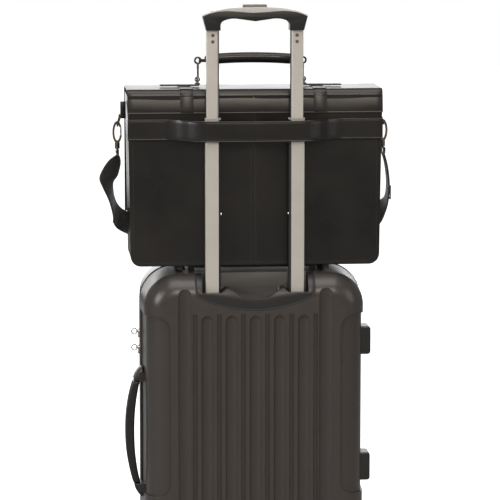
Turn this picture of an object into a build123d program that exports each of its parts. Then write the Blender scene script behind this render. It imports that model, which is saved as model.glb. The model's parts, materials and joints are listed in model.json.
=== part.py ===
"""A rolling laptop case: a hard-shelled trolley case on four spinner wheels, with a telescopic handle,
and a black leather flap-over laptop case that stands on it and is held to the handle's tubes by the
sleeve strap across its back.

Frame: millimetres, +Z up, the floor is Z = 0 and the origin is midway between the wheels. The trolley
case's tube side, which is also the laptop case's back, faces -Y. +X is to the right seen from there."""

from build123d import *
from math import atan2, degrees, sqrt
import os

os.makedirs("parts", exist_ok=True)

# ---------------------------------------------------------------- driving dimensions
# Trolley case
CASE_WIDTH = 378.0
CASE_DEPTH = 230.0
CASE_TOP = 552.0
SHELL_BOTTOM = 56.0
CORNER_R = 60.0  # corners of the outline
FACE_R = 38.0  # rounding from the outline onto the ribbed face
DRAFT = 3.0  # degrees
SHELL_T = 3.0
ZIP_HALF = 9.0  # half the width of the zip band between the shells
GAP = 0.3  # room between pieces that don't touch

# Telescopic handle
POST_X = 70.0  # each tube's distance from the middle
POST_Y = -94.0
MID_TUBE = (25.6, 16.0, 1.2)  # width, depth, wall
INNER_TUBE = (21.4, 12.0, 1.1)
OUTER_TUBE_WALL = 1.4
MID_TOP = 808.0
MID_LENGTH = 349.0
INNER_TOP = 972.0
INNER_BOTTOM = 640.0
STUD_Z = 650.0
GRIP_BOTTOM = 956.5
GRIP_HALF_DEPTH = 13.0
BEZEL_FLOOR = 519.0

# Laptop case
BAG_HALF_WIDTH = 217.0
BAG_BACK = -77.0
BAG_FRONT = 30.0
BAG_BOTTOM = 560.0
BAG_RIM = 848.0
BAG_WALL = 3.0
POCKET_DEPTH = 15.0
FLAP_TOP = 857.0
FLAP_T = 3.0
YOKE_BOTTOM = 817.0
FLAP_BOTTOM = 640.0
SLEEVE_LOW = 773.5
SLEEVE_HIGH = 807.5
SLEEVE_T = 3.0
SLEEVE_STITCH_X = 133.0
STRAP_X = 112.0  # the two reinforcing straps over the flap
STRAP_WIDTH = 22.0
HANDLE_Y = -14.0
HANDLE_PIVOT_Z = 868.0
HANDLE_HALF = 86.0
HANDLE_Z = 903.0
WEBBING = (38.0, 2.4)  # width, thickness of the shoulder strap
SIDE_REACH = 250.0  # how far the shoulder strap stands out to each side

# Wheels
WHEEL_R = 22.0
WHEEL_WIDTH = 11.0
CASTER_X = 146.0
CASTER_Y = 70.0
CASTER_TRAIL = 14.0

FACE_Y = -CASE_DEPTH / 2
CASE_MID_Z = (CASE_TOP + SHELL_BOTTOM) / 2
CASE_HEIGHT = CASE_TOP - SHELL_BOTTOM


def save(builder, label):
    """Names a finished piece and writes its STEP file."""
    builder.part.label = label
    export_step(builder.part, f"parts/{label}.step")


# ---------------------------------------------------------------- the two shells
def half_form(inset, start=ZIP_HALF):
    """The solid form of the shell half on the -Y side, every wall moved in by inset."""
    with BuildPart() as form:
        with BuildSketch(Plane.XZ.offset(start)):
            with Locations((0, CASE_MID_Z)):
                RectangleRounded(CASE_WIDTH - 2 * inset, CASE_HEIGHT - 2 * inset, CORNER_R - inset)
        extrude(amount=CASE_DEPTH / 2 - start - inset, taper=DRAFT)
        fillet(form.faces().sort_by(Axis.Y)[0].edges(), FACE_R - inset)
    return form.part


GROOVE_PITCH = 40.6
WIDE_GROOVE = (20.0, 5.0)  # width, depth
LONG_GROOVE = (23.0, 5.5)
FINE_GROOVE = (3.2, 1.6)
FINE_SPREAD = 2.3  # half the distance between the two fine grooves of a pair
WIDE_TOP = 481.0
FINE_TOP = 484.0
LONG_TOP = 530.0
LONG_X = 118.5
RECESS_X = CASE_WIDTH / 2 + 5
RECESS_Z = 326.5
RECESS_WIDTH = 102.0
RECESS_HEIGHT = 307.0
RECESS_DEPTH = 3.0


def cut_groove(x, top, size, wall=0.0):
    """Cuts an upright round-bottomed groove, its ends rounded, the same distance from top and bottom."""
    width, depth = size
    radius = (width**2 / 4 + depth**2) / (2 * depth)
    axis_y = FACE_Y + depth - radius
    reach = top - width / 2 - CASE_MID_Z
    with Locations((x, axis_y, CASE_MID_Z)):
        Cylinder(radius + wall, 2 * reach, mode=Mode.SUBTRACT)
    with Locations((x, axis_y, CASE_MID_Z - reach), (x, axis_y, CASE_MID_Z + reach)):
        Sphere(radius + wall, mode=Mode.SUBTRACT)


def side_recess(grow, depth):
    """What is cut from the shell's form at its two sides, where the carry handle and feet sit."""
    with BuildPart() as recess:
        with BuildSketch(Plane.XZ.offset(ZIP_HALF + 6 - grow)):
            with Locations((-RECESS_X, RECESS_Z), (RECESS_X, RECESS_Z)):
                RectangleRounded(RECESS_WIDTH + 2 * grow, RECESS_HEIGHT + 2 * grow, 24 + grow)
        extrude(amount=CASE_DEPTH)
        add(half_form(depth), mode=Mode.SUBTRACT)
    return recess.part


def ribbed_half(with_bezel):
    """One hard shell on the -Y side: ribbed face, recessed sides, even wall."""
    with BuildPart() as cavity:
        add(half_form(SHELL_T))
        for row in range(-2, 3):
            cut_groove(row * GROOVE_PITCH, WIDE_TOP, WIDE_GROOVE, SHELL_T)
        for x in (-LONG_X, LONG_X):
            cut_groove(x, LONG_TOP, LONG_GROOVE, SHELL_T)
        add(side_recess(SHELL_T, RECESS_DEPTH + SHELL_T), mode=Mode.SUBTRACT)
    with BuildPart() as shell:
        add(half_form(0))
        for row in range(-2, 3):
            cut_groove(row * GROOVE_PITCH, WIDE_TOP, WIDE_GROOVE)
        for row in range(6):
            for side in (-FINE_SPREAD, FINE_SPREAD):
                cut_groove((row - 2.5) * GROOVE_PITCH + side, FINE_TOP, FINE_GROOVE)
        for x in (-LONG_X, LONG_X):
            cut_groove(x, LONG_TOP, LONG_GROOVE)
        add(side_recess(0, RECESS_DEPTH), mode=Mode.SUBTRACT)
        add(cavity.part, mode=Mode.SUBTRACT)
        if with_bezel:
            with BuildSketch(Plane.XZ.offset(BEZEL_BACK)):
                add(bezel_outline(0))
            extrude(amount=80, mode=Mode.SUBTRACT)
    return shell.part


# ---------------------------------------------------------------- handle well (bezel)
BEZEL_BACK = 72.0  # distance of the well's back wall from the zip plane
BEZEL_HALF = 99.0
BEZEL_LOW = 491.0
WELL_HALF = 89.0
WELL_BACK = 76.5


def bezel_outline(gap):
    """The well's outline on the rear face: a shield, open past the top of the case."""
    half = BEZEL_HALF - gap
    with BuildSketch(Plane.XZ) as outline:
        with BuildLine():
            Polyline((half, 515 + gap), (half, CASE_TOP + 30), (-half, CASE_TOP + 30), (-half, 515 + gap))
            ThreePointArc((-half, 515 + gap), (0, BEZEL_LOW + gap), (half, 515 + gap))
        make_face()
        fillet(outline.vertices().group_by(Axis.Y)[0], 17)
    return outline.sketch


def post_section(width, depth, side, grow=0.0):
    """A tube's section in plan: rounded behind, with a bevel on its inner rear edge. side is +1 or -1."""
    half_w, half_d = width / 2 + grow, depth / 2 + grow
    bevel = 3.4
    with BuildSketch() as section:
        with BuildLine():
            Polyline(
                (side * (POST_X + half_w), POST_Y - half_d),
                (side * (POST_X - half_w + bevel), POST_Y - half_d),
                (side * (POST_X - half_w), POST_Y - half_d + bevel),
                (side * (POST_X - half_w), POST_Y + half_d),
                (side * (POST_X + half_w), POST_Y + half_d),
                close=True,
            )
        make_face()
        fillet(section.vertices(), max(1.2 + grow, 0.4))
    return section.sketch


with BuildPart() as rear_form:
    add(half_form(0))
    add(side_recess(0, RECESS_DEPTH), mode=Mode.SUBTRACT)
front_form = mirror(rear_form.part, about=Plane.XZ)

rear_half = ribbed_half(True)
with BuildPart() as rear_shell:
    add(rear_half)
save(rear_shell, "rear_shell")

front_half = mirror(ribbed_half(False), about=Plane.XZ)
with BuildPart() as front_shell:
    add(front_half)
save(front_shell, "front_shell")

with BuildPart() as handle_well:
    add(rear_form.part)
    with BuildSketch(Plane.XZ.offset(BEZEL_BACK + GAP)):
        add(bezel_outline(GAP))
    extrude(amount=80, mode=Mode.INTERSECT)
    # The open well that the grip drops into, with the dipped lip between the tubes.
    with BuildSketch(Plane.XZ.offset(WELL_BACK)) as well:
        with BuildLine():
            Polyline((-48, 526), (-57, BEZEL_FLOOR), (-WELL_HALF, BEZEL_FLOOR), (-WELL_HALF, CASE_TOP + 20),
                     (WELL_HALF, CASE_TOP + 20), (WELL_HALF, BEZEL_FLOOR), (57, BEZEL_FLOOR), (48, 526))
            Spline((48, 526), (24, 513), (0, 510), (-24, 513), (-48, 526),
                   tangents=((-1, -0.2), (-1, 0.2)))
        make_face()
    extrude(amount=60, mode=Mode.SUBTRACT)
    # Room for the fingers behind the lip.
    with BuildSketch(Plane.XY.offset(501)):
        with Locations((0, (-WELL_BACK - 107) / 2)):
            RectangleRounded(92, 107 - WELL_BACK, 8)
    extrude(amount=60, mode=Mode.SUBTRACT)
    for side in (-1, 1):
        with BuildSketch(Plane.XY.offset(480)):
            add(post_section(MID_TUBE[0], MID_TUBE[1], side, 0.4))
            with Locations((side * (POST_X - MID_TUBE[0] / 2 - 1), POST_Y)):
                Rectangle(5, 7)
        extrude(amount=60, mode=Mode.SUBTRACT)
save(handle_well, "handle_well")

# ---------------------------------------------------------------- zip band between the shells
TAPE_SINK = 1.5  # the tape's face lies this far inside the case's outline
TAPE_T = 2.0
PIPING = (5.6, 8.8)  # the welt beside the shell: where it starts and ends, from the middle of the zip
TEETH = (0.4, 2.6)


def outline_ring(outer, inner, start, end):
    """A band that runs round the case's outline, between two insets, from start to end off the zip plane."""
    with BuildPart() as ring:
        with BuildSketch(Plane.XZ.offset(start)):
            with Locations((0, CASE_MID_Z)):
                RectangleRounded(CASE_WIDTH - 2 * outer, CASE_HEIGHT - 2 * outer, CORNER_R - outer)
                RectangleRounded(CASE_WIDTH - 2 * inner, CASE_HEIGHT - 2 * inner, CORNER_R - inner,
                                 mode=Mode.SUBTRACT)
        extrude(amount=end - start)
    return ring.part


with BuildPart() as rear_zip_band:
    add(outline_ring(TAPE_SINK, TAPE_SINK + TAPE_T, GAP / 2, ZIP_HALF - 0.02))
    add(outline_ring(0, TAPE_SINK + 0.1, *PIPING))
    add(outline_ring(0.3, TAPE_SINK + 0.1, *TEETH))
save(rear_zip_band, "rear_zip_band")

front_band = mirror(rear_zip_band.part, about=Plane.XZ)
with BuildPart() as front_zip_band:
    add(front_band)
save(front_zip_band, "front_zip_band")

# ---------------------------------------------------------------- telescopic handle
OUTER_BOTTOM = 108.0
OUTER_TOP = 496.0
with BuildPart() as outer_tubes:
    for side in (-1, 1):
        with BuildSketch(Plane.XY.offset(OUTER_BOTTOM)):
            add(post_section(MID_TUBE[0], MID_TUBE[1], side, 0.4 + OUTER_TUBE_WALL))
            add(post_section(MID_TUBE[0], MID_TUBE[1], side, 0.4), mode=Mode.SUBTRACT)
        extrude(amount=OUTER_TOP - OUTER_BOTTOM)
        # A slot lets the stud on the middle tube pass.
        with Locations((side * (POST_X - MID_TUBE[0] / 2 - 1), POST_Y, OUTER_TOP)):
            Box(5, 7, 320, mode=Mode.SUBTRACT)
save(outer_tubes, "outer_tubes")

with BuildPart() as tube_bracket:
    with BuildSketch(Plane.XY.offset(OUTER_BOTTOM - 8)):
        with Locations((0, POST_Y)):
            RectangleRounded(2 * POST_X + 60, 20, 6)
    extrude(amount=8 - GAP)
save(tube_bracket, "tube_bracket")

with BuildPart() as lining_panel:
    with BuildSketch(Plane.XZ.offset(80)):
        with Locations((0, CASE_MID_Z - 18)):
            RectangleRounded(336, 400, 40)
    extrude(amount=2)
save(lining_panel, "lining_panel")

with BuildPart() as mid_tubes:
    for side in (-1, 1):
        with BuildSketch(Plane.XY.offset(MID_TOP - MID_LENGTH)):
            add(post_section(MID_TUBE[0], MID_TUBE[1], side))
            add(post_section(MID_TUBE[0], MID_TUBE[1], side, -MID_TUBE[2]), mode=Mode.SUBTRACT)
        extrude(amount=MID_LENGTH)
save(mid_tubes, "mid_tubes")

with BuildPart() as mid_tube_collars:
    for side in (-1, 1):
        with BuildSketch(Plane.XY.offset(MID_TOP + 0.05)):
            add(post_section(MID_TUBE[0], MID_TUBE[1], side, 0.6))
            add(post_section(INNER_TUBE[0], INNER_TUBE[1], side, GAP), mode=Mode.SUBTRACT)
        extrude(amount=2.6)
save(mid_tube_collars, "mid_tube_collars")

with BuildPart() as mid_tube_studs:
    for side in (-1, 1):
        stud_x = side * (POST_X - MID_TUBE[0] / 2)
        with Locations(Location((stud_x - side * 0.9, POST_Y, STUD_Z), (0, 90, 0))):
            Cylinder(2.6, 1.6)
save(mid_tube_studs, "mid_tube_studs")

with BuildPart() as inner_tubes:
    for side in (-1, 1):
        with BuildSketch(Plane.XY.offset(INNER_BOTTOM)):
            add(post_section(INNER_TUBE[0], INNER_TUBE[1], side))
            add(post_section(INNER_TUBE[0], INNER_TUBE[1], side, -INNER_TUBE[2]), mode=Mode.SUBTRACT)
        extrude(amount=INNER_TOP - INNER_BOTTOM)
save(inner_tubes, "inner_tubes")

RIVET_ZS = (948.0, 937.5)
# The heads are thin enough to pass into the middle tubes.
RIVET_HEAD = 0.3
RIVET_Y = POST_Y - INNER_TUBE[1] / 2 - 0.05 - RIVET_HEAD / 2
with BuildPart() as tube_rivets:
    for side in (-1, 1):
        for z in RIVET_ZS:
            with Locations(Location((side * POST_X, RIVET_Y, z), (90, 0, 0))):
                Cylinder(2.9, RIVET_HEAD)
save(tube_rivets, "tube_rivets")

SEAM = ((-87.0, 979.5), (-62.0, 987.5), (0.0, 985.5), (62.0, 987.5), (87.0, 979.5))
ROD_X = 70.0
with BuildPart() as grip_body:
    with BuildSketch(Plane.XZ.offset(-POST_Y - GRIP_HALF_DEPTH)) as grip_face:
        with BuildLine():
            Polyline((-87.0, 979.5), (-81.0, GRIP_BOTTOM), (-57.5, GRIP_BOTTOM), (-57.5, 965))
            Spline((-57.5, 965), (-50, 973.5), (0, 969), (50, 973.5), (57.5, 965),
                   tangents=((0.1, 1), (0.1, -1)))
            Polyline((57.5, 965), (57.5, GRIP_BOTTOM), (81.0, GRIP_BOTTOM), (87.0, 979.5))
            Spline(*reversed(SEAM))
        make_face()
    extrude(amount=2 * GRIP_HALF_DEPTH)
    with Locations((0, POST_Y, 982)):
        Box(152, 11, 13, mode=Mode.SUBTRACT)
    with Locations((0, POST_Y, 984)):
        Box(40.6, 15.6, 14, mode=Mode.SUBTRACT)
    for side in (-1, 1):
        with BuildSketch(Plane.XY.offset(GRIP_BOTTOM - 1)):
            add(post_section(INNER_TUBE[0], INNER_TUBE[1], side, 0.1))
        extrude(amount=INNER_TOP - GRIP_BOTTOM + 1.1, mode=Mode.SUBTRACT)
        with Locations((side * ROD_X, POST_Y, INNER_TOP)):
            Cylinder(4, 14, mode=Mode.SUBTRACT)
save(grip_body, "grip_body")

with BuildPart() as grip_cover:
    with BuildSketch(Plane.XZ.offset(-POST_Y - GRIP_HALF_DEPTH)):
        with BuildLine():
            Spline(*[(x, z + 0.1) for x, z in SEAM])
            Line((87.0, 979.6), (86.2, 982.4))
            Spline((86.2, 982.4), (60, 990.5), (0, 995), (-60, 990.5), (-86.2, 982.4))
            Line((-86.2, 982.4), (-87.0, 979.6))
        make_face()
    extrude(amount=2 * GRIP_HALF_DEPTH)
    with Locations((0, POST_Y, 984)):
        Box(152, 11, 9, mode=Mode.SUBTRACT)
    with Locations((0, POST_Y, 990)):
        Box(40.6, 15.6, 20, mode=Mode.SUBTRACT)
save(grip_cover, "grip_cover")

with BuildPart() as release_button:
    with Locations((0, POST_Y, 989)):
        Box(39.6, 14.6, 20)
    fillet(release_button.faces().sort_by(Axis.Z)[-1].edges(), 1.6)
    with Locations((0, POST_Y, 981)):
        Box(60, 30, 4.4, mode=Mode.SUBTRACT)
    with Locations((0, POST_Y, 983.4)):
        Box(148, 9, 2.4)
save(release_button, "release_button")

with BuildPart() as push_rods:
    for side in (-1, 1):
        with Locations((side * ROD_X, POST_Y, 818)):
            Cylinder(2, 328)
save(push_rods, "push_rods")

# ---------------------------------------------------------------- side handle, top handle, feet
SIDE_Y = -36.0
SIDE_LOW, SIDE_HIGH = 184.0, 360.0
with BuildPart() as side_handle:
    with BuildSketch(Plane.XZ.offset(-SIDE_Y - 15)):
        with BuildLine():
            ThreePointArc((-194, SIDE_HIGH), (-207, 271), (-194, SIDE_LOW))
            Line((-194, SIDE_LOW), (-187, SIDE_LOW + 2))
            ThreePointArc((-187, SIDE_LOW + 2), (-199, 271), (-187, SIDE_HIGH - 2))
            Line((-187, SIDE_HIGH - 2), (-194, SIDE_HIGH))
        make_face()
    extrude(amount=30)
    fillet(side_handle.edges().filter_by(GeomType.CIRCLE), 2.5)
save(side_handle, "side_handle")

with BuildPart() as top_handle:
    with Locations((0, SIDE_Y, CASE_TOP + 3.4)):
        Box(196, 28, 4)
    fillet(top_handle.edges().filter_by(Axis.X), 1.5)
save(top_handle, "top_handle")

with BuildPart() as handle_brackets:
    for z in (SIDE_LOW - 8, SIDE_HIGH + 8):
        with Locations((-188, SIDE_Y, z)):
            Box(10, 34, 15)
    fillet(handle_brackets.edges().filter_by(Axis.Y).group_by(Axis.X)[0], 3)
    for x in (-103, 103):
        with Locations((x, SIDE_Y, CASE_TOP + 1.4)):
            Box(9, 32, 8)
    add(rear_form.part, mode=Mode.SUBTRACT)
save(handle_brackets, "handle_brackets")

FOOT_ZS = (211.0, 429.0)
FOOT_Y = -56.0
FOOT_REACH = 10.5  # how far the feet stand out from the case's side
with BuildPart() as side_feet:
    for z in FOOT_ZS:
        with Locations((CASE_WIDTH / 2 + FOOT_REACH - 12, FOOT_Y, z)):
            Box(24, 38, 48)
    fillet(side_feet.edges().filter_by(Axis.Y).group_by(Axis.X)[-1], 5)
    fillet(side_feet.faces().sort_by(Axis.X)[-2:].edges(), 3)
    add(rear_form.part, mode=Mode.SUBTRACT)
save(side_feet, "side_feet")

# ---------------------------------------------------------------- zip sliders and ring pulls
SLIDER_ZS = (438.0, 410.0)
SLIDER_X = -(CASE_WIDTH / 2 + 1.6)
PULL_R = 3.5
with BuildPart() as zip_sliders:
    for z in SLIDER_ZS:
        with Locations((SLIDER_X, 0, z - 3)):
            Box(2.8, 9, 15)
    fillet(zip_sliders.edges().filter_by(Axis.X), 3.5)
    for z in SLIDER_ZS:
        with Locations((SLIDER_X - 2.6, 0, z)):
            Box(4.4, 4.6, 3.2)
            Cylinder(1.1, 8, mode=Mode.SUBTRACT)
save(zip_sliders, "zip_sliders")

for number, z in enumerate(SLIDER_ZS, start=1):
    with BuildPart() as zip_ring:
        with Locations(Location((SLIDER_X - 2.6 - PULL_R, 0, z), (90, 0, 0))):
            Torus(PULL_R, 0.7)
    save(zip_ring, f"zip_ring_{number}")


# ---------------------------------------------------------------- spinner wheels
def caster_housing(places, skin, form):
    """The corner guards with their swivel bosses, one solid a corner."""
    with BuildPart() as housing:
        for x, y in places:
            with Locations((x * 1.04, y * 1.09, SHELL_BOTTOM + 22)):
                Box(64, 66, 56)
        add(skin, mode=Mode.INTERSECT)
        for x, y in places:
            with Locations((x, y, 56.2)):
                Cylinder(24, 15.8)
        add(form, mode=Mode.SUBTRACT)
        for x, y in places:
            with Locations((x, y, 51)):
                Cylinder(5.4, 12, mode=Mode.SUBTRACT)
    return housing


GUARD_T = 1.8
rear_skin = half_form(-GUARD_T)
front_skin = mirror(rear_skin, about=Plane.XZ)
rear_places = [(-CASTER_X, -CASTER_Y), (CASTER_X, -CASTER_Y)]
front_places = [(-CASTER_X, CASTER_Y), (CASTER_X, CASTER_Y)]
save(caster_housing(rear_places, rear_skin, rear_form.part), "rear_caster_housings")
save(caster_housing(front_places, front_skin, front_form), "front_caster_housings")

FORK_HALF = 4.4
for name, x, y in (("rear_left", -CASTER_X, -CASTER_Y), ("rear_right", CASTER_X, -CASTER_Y),
                   ("front_left", -CASTER_X, CASTER_Y), ("front_right", CASTER_X, CASTER_Y)):
    axle_y = y + CASTER_TRAIL
    with BuildPart() as fork:
        with Locations((x, y, 46.4)):
            Cylinder(20, 2.8)
        with Locations((x, y, 51)):
            Cylinder(5.0, 11)
        with BuildSketch(Plane.YZ.offset(x - FORK_HALF)):
            with BuildLine():
                Polyline((y - 15, 46), (y + 17, 46), (axle_y + 7.5, WHEEL_R))
                ThreePointArc((axle_y + 7.5, WHEEL_R), (axle_y, WHEEL_R - 7.5), (axle_y - 7.5, WHEEL_R))
                Line((axle_y - 7.5, WHEEL_R), (y - 15, 46))
            make_face()
        extrude(amount=2 * FORK_HALF)
        with Locations(Location((x, axle_y, WHEEL_R), (0, 90, 0))):
            Cylinder(2.55, 60, mode=Mode.SUBTRACT)
    save(fork, f"fork_{name}")

    with BuildPart() as wheels:
        for side in (-1, 1):
            wheel_x = x + side * (FORK_HALF + 2 * GAP + WHEEL_WIDTH / 2)
            with Locations(Location((wheel_x, axle_y, WHEEL_R), (0, 90, 0))):
                Cylinder(WHEEL_R, WHEEL_WIDTH)
        fillet(wheels.edges().filter_by(GeomType.CIRCLE), 2.6)
        for side in (-1, 1):
            cap_x = x + side * (FORK_HALF + 2 * GAP + WHEEL_WIDTH)
            with Locations(Location((cap_x, axle_y, WHEEL_R), (0, 90, 0))):
                Cylinder(14, 2.4, mode=Mode.SUBTRACT)
        # The wheels are pressed on their axle and turn with it.
        with Locations(Location((x, axle_y, WHEEL_R), (0, 90, 0))):
            Cylinder(2.3, 2 * (FORK_HALF + WHEEL_WIDTH))
    save(wheels, f"wheels_{name}")


# ---------------------------------------------------------------- laptop case: body
def bag_form(inset):
    """The laptop case's box: rounded lower corners, softened upright edges, open above the rim."""
    with BuildPart() as form:
        with BuildSketch(Plane.XZ.offset(-BAG_FRONT + inset)):
            with BuildLine():
                half = BAG_HALF_WIDTH - inset
                low = BAG_BOTTOM + inset
                Polyline((-half, BAG_RIM + inset), (-half + 4, low), (half - 4, low), (half, BAG_RIM + inset),
                         close=True)
            face = make_face()
            fillet(face.vertices().group_by(Axis.Z)[0], 18 - inset)
        extrude(amount=BAG_FRONT - BAG_BACK - 2 * inset)
        upright = form.faces().filter_by(Plane.XZ).edges().group_by(Axis.Z)[:-1]
        fillet([edge for group in upright for edge in group], 7 - inset)
    return form.part


with BuildPart() as bag_body:
    add(bag_form(0))
    add(bag_form(BAG_WALL), mode=Mode.SUBTRACT)
save(bag_body, "bag_body")

with BuildPart() as laptop_sleeve:
    with Locations((0, BAG_BACK + 26, 690)):
        Box(404, 7, 240)
    fillet(laptop_sleeve.edges().filter_by(Axis.Y), 12)
save(laptop_sleeve, "laptop_sleeve")

with BuildPart() as front_pocket:
    with Locations((0, BAG_FRONT + GAP + POCKET_DEPTH / 2, 690)):
        Box(392, POCKET_DEPTH, 232)
    fillet(front_pocket.edges().filter_by(Axis.Y), 16)
    fillet(front_pocket.faces().sort_by(Axis.Y)[-1].edges(), 5)
save(front_pocket, "front_pocket")

BAG_FOOT_PLACES = [(x, y, (CASE_TOP + GAP + BAG_BOTTOM) / 2) for x in (-122, 122) for y in (-60, 8)]
with BuildPart() as bag_feet:
    with Locations(*BAG_FOOT_PLACES):
        Cylinder(7, BAG_BOTTOM - CASE_TOP - GAP)
save(bag_feet, "bag_feet")

# ---------------------------------------------------------------- laptop case: flap
HINGE_Y = BAG_BACK - FLAP_T
FLAP_HINGE_Z = FLAP_TOP - 4
FLAP_FRONT = BAG_FRONT + GAP + POCKET_DEPTH + 1.5
with BuildPart() as flap_yoke:
    with Locations((0, BAG_BACK - FLAP_T / 2 - 0.05, (YOKE_BOTTOM + FLAP_HINGE_Z) / 2)):
        Box(2 * BAG_HALF_WIDTH, FLAP_T - 0.1, FLAP_HINGE_Z - YOKE_BOTTOM - GAP)
save(flap_yoke, "flap_yoke")

with BuildPart() as flap:
    with BuildSketch(Plane.YZ.offset(-BAG_HALF_WIDTH)):
        with BuildLine():
            outer = FilletPolyline((HINGE_Y, FLAP_HINGE_Z), (HINGE_Y, FLAP_TOP), (FLAP_FRONT + FLAP_T, FLAP_TOP),
                                   (FLAP_FRONT + FLAP_T, FLAP_BOTTOM), radius=(3.6, 14))
            Polyline(outer @ 0, (HINGE_Y + FLAP_T, FLAP_HINGE_Z), (HINGE_Y + FLAP_T, FLAP_TOP - FLAP_T),
                     (FLAP_FRONT - 10, FLAP_TOP - FLAP_T), (FLAP_FRONT, FLAP_TOP - FLAP_T - 10),
                     (FLAP_FRONT, FLAP_BOTTOM), outer @ 1)
        make_face()
    extrude(amount=2 * BAG_HALF_WIDTH)
    fillet(flap.edges().filter_by(Axis.Y).group_by(Axis.Z)[0], 22)
save(flap, "flap")


STRAP_T = 1.6
STRAP_LOW = 622.0
# The flap's own straps dip below the hinge line as the flap opens, so the yoke's end this much lower.
STRAP_DIP = 1.9
yoke_strap_top = FLAP_HINGE_Z - STRAP_DIP
with BuildPart() as yoke_straps:
    for side in (-1, 1):
        with Locations((side * STRAP_X, HINGE_Y - 0.1 - STRAP_T / 2, (YOKE_BOTTOM + yoke_strap_top) / 2)):
            Box(STRAP_WIDTH, STRAP_T, yoke_strap_top - YOKE_BOTTOM)
save(yoke_straps, "yoke_straps")


def over_the_flap(lift):
    """The corners of a line that runs over the flap from behind to the front, lift away from its leather."""
    back, top, front = HINGE_Y - lift, FLAP_TOP + lift, FLAP_FRONT + FLAP_T + lift
    return [(back, FLAP_HINGE_Z), (back, top), (front, top), (front, STRAP_LOW)]


with BuildPart() as flap_straps:
    for side in (-1, 1):
        with BuildSketch(Plane.YZ.offset(side * STRAP_X - STRAP_WIDTH / 2)) as strap_profile:
            with BuildLine():
                inner = FilletPolyline(*over_the_flap(0.1), radius=(3.7, 14.1))
                outer = FilletPolyline(*over_the_flap(0.1 + STRAP_T), radius=(3.7 + STRAP_T, 14.1 + STRAP_T))
                Line(inner @ 0, outer @ 0)
                Line(inner @ 1, outer @ 1)
            make_face()
        extrude(amount=STRAP_WIDTH)
save(flap_straps, "flap_straps")

front_y = FLAP_FRONT + FLAP_T + 0.1
CLASP_Z = 641.0
with BuildPart() as flap_clasps:
    for side in (-1, 1):
        with Locations((side * STRAP_X, front_y + STRAP_T + 2.1, CLASP_Z)):
            Box(26, 4, 30)
    fillet(flap_clasps.edges().filter_by(Axis.Y), 4)
    fillet(flap_clasps.faces().sort_by(Axis.Y)[-2:].edges(), 1.2)
save(flap_clasps, "flap_clasps")

# ---------------------------------------------------------------- laptop case: sleeve strap over the tubes
SLEEVE_INNER_Y = POST_Y - GRIP_HALF_DEPTH - 1.2
with BuildPart() as sleeve_strap:
    with BuildSketch(Plane.XY.offset(SLEEVE_LOW)):
        with BuildLine():
            near = BAG_BACK - 0.2
            Polyline((-BAG_HALF_WIDTH, near), (-SLEEVE_STITCH_X, near), (-91, SLEEVE_INNER_Y),
                     (91, SLEEVE_INNER_Y), (SLEEVE_STITCH_X, near), (BAG_HALF_WIDTH, near),
                     (BAG_HALF_WIDTH, near - SLEEVE_T), (SLEEVE_STITCH_X + 1.5, near - SLEEVE_T),
                     (92.5, SLEEVE_INNER_Y - SLEEVE_T), (-92.5, SLEEVE_INNER_Y - SLEEVE_T),
                     (-SLEEVE_STITCH_X - 1.5, near - SLEEVE_T), (-BAG_HALF_WIDTH, near - SLEEVE_T), close=True)
        make_face()
    extrude(amount=SLEEVE_HIGH - SLEEVE_LOW)
save(sleeve_strap, "sleeve_strap")

# ---------------------------------------------------------------- laptop case: carry handle
TAB_X = 122.0
with BuildPart() as handle_tabs:
    for side in (-1, 1):
        with Locations((side * (TAB_X - 1.5), HANDLE_Y, FLAP_TOP + STRAP_T + 1.5)):
            Box(66, 24, 2.4)
    fillet(handle_tabs.edges().filter_by(Axis.Z), 2)
    for side in (-1, 1):
        with Locations((side * (HANDLE_HALF + 4), HANDLE_Y, FLAP_TOP + STRAP_T + 3.3)):
            Box(8, 15, 3.2)
save(handle_tabs, "handle_tabs")

# Each link's lower ring swings on a pin between two posts, with play all round it.
PIN_R = 1.1
LOOP_POST_Y = 6.7
LINK_RING = (3.8, 1.0)
with BuildPart() as handle_loops:
    for side in (-1, 1):
        with Locations((side * (HANDLE_HALF + 4), HANDLE_Y - LOOP_POST_Y, HANDLE_PIVOT_Z - 0.7),
                       (side * (HANDLE_HALF + 4), HANDLE_Y + LOOP_POST_Y, HANDLE_PIVOT_Z - 0.7)):
            Box(3.4, 1.4, 7.4)
        with Locations(Location((side * (HANDLE_HALF + 4), HANDLE_Y, HANDLE_PIVOT_Z + 1), (90, 0, 0))):
            Cylinder(PIN_R, 13)
save(handle_loops, "handle_loops")

with BuildPart() as handle_links:
    for side in (-1, 1):
        link_x = side * (HANDLE_HALF + 4)
        with Locations(Location((link_x, HANDLE_Y, HANDLE_PIVOT_Z + 1), (90, 0, 0))):
            Torus(*LINK_RING)
        with Locations((link_x - side * 1.0, HANDLE_Y, HANDLE_PIVOT_Z + 16)):
            Cylinder(1.8, 24)
        with Locations(Location((link_x - side * 1.0, HANDLE_Y, HANDLE_Z - 2), (90, 0, 0))):
            Torus(5.0, 1.6)
save(handle_links, "handle_links")

with BuildPart() as carry_grip:
    with BuildLine() as grip_path:
        ThreePointArc((-HANDLE_HALF + 9, HANDLE_Y, HANDLE_Z), (0, HANDLE_Y, HANDLE_Z + 3.5),
                      (HANDLE_HALF - 9, HANDLE_Y, HANDLE_Z))
    with BuildSketch(Plane(origin=grip_path.line @ 0, z_dir=grip_path.line % 0)):
        Ellipse(8.2, 8.2)
    sweep()
save(carry_grip, "carry_grip")

with BuildPart() as grip_end_loops:
    for side in (-1, 1):
        with Locations((side * (HANDLE_HALF - 3.6), HANDLE_Y, HANDLE_Z - 2)):
            Box(10.2, 12, 5)
        with Locations((side * (HANDLE_HALF - 2), HANDLE_Y, HANDLE_Z - 2)):
            Cylinder(2.75, 8, mode=Mode.SUBTRACT)
save(grip_end_loops, "grip_end_loops")


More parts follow.
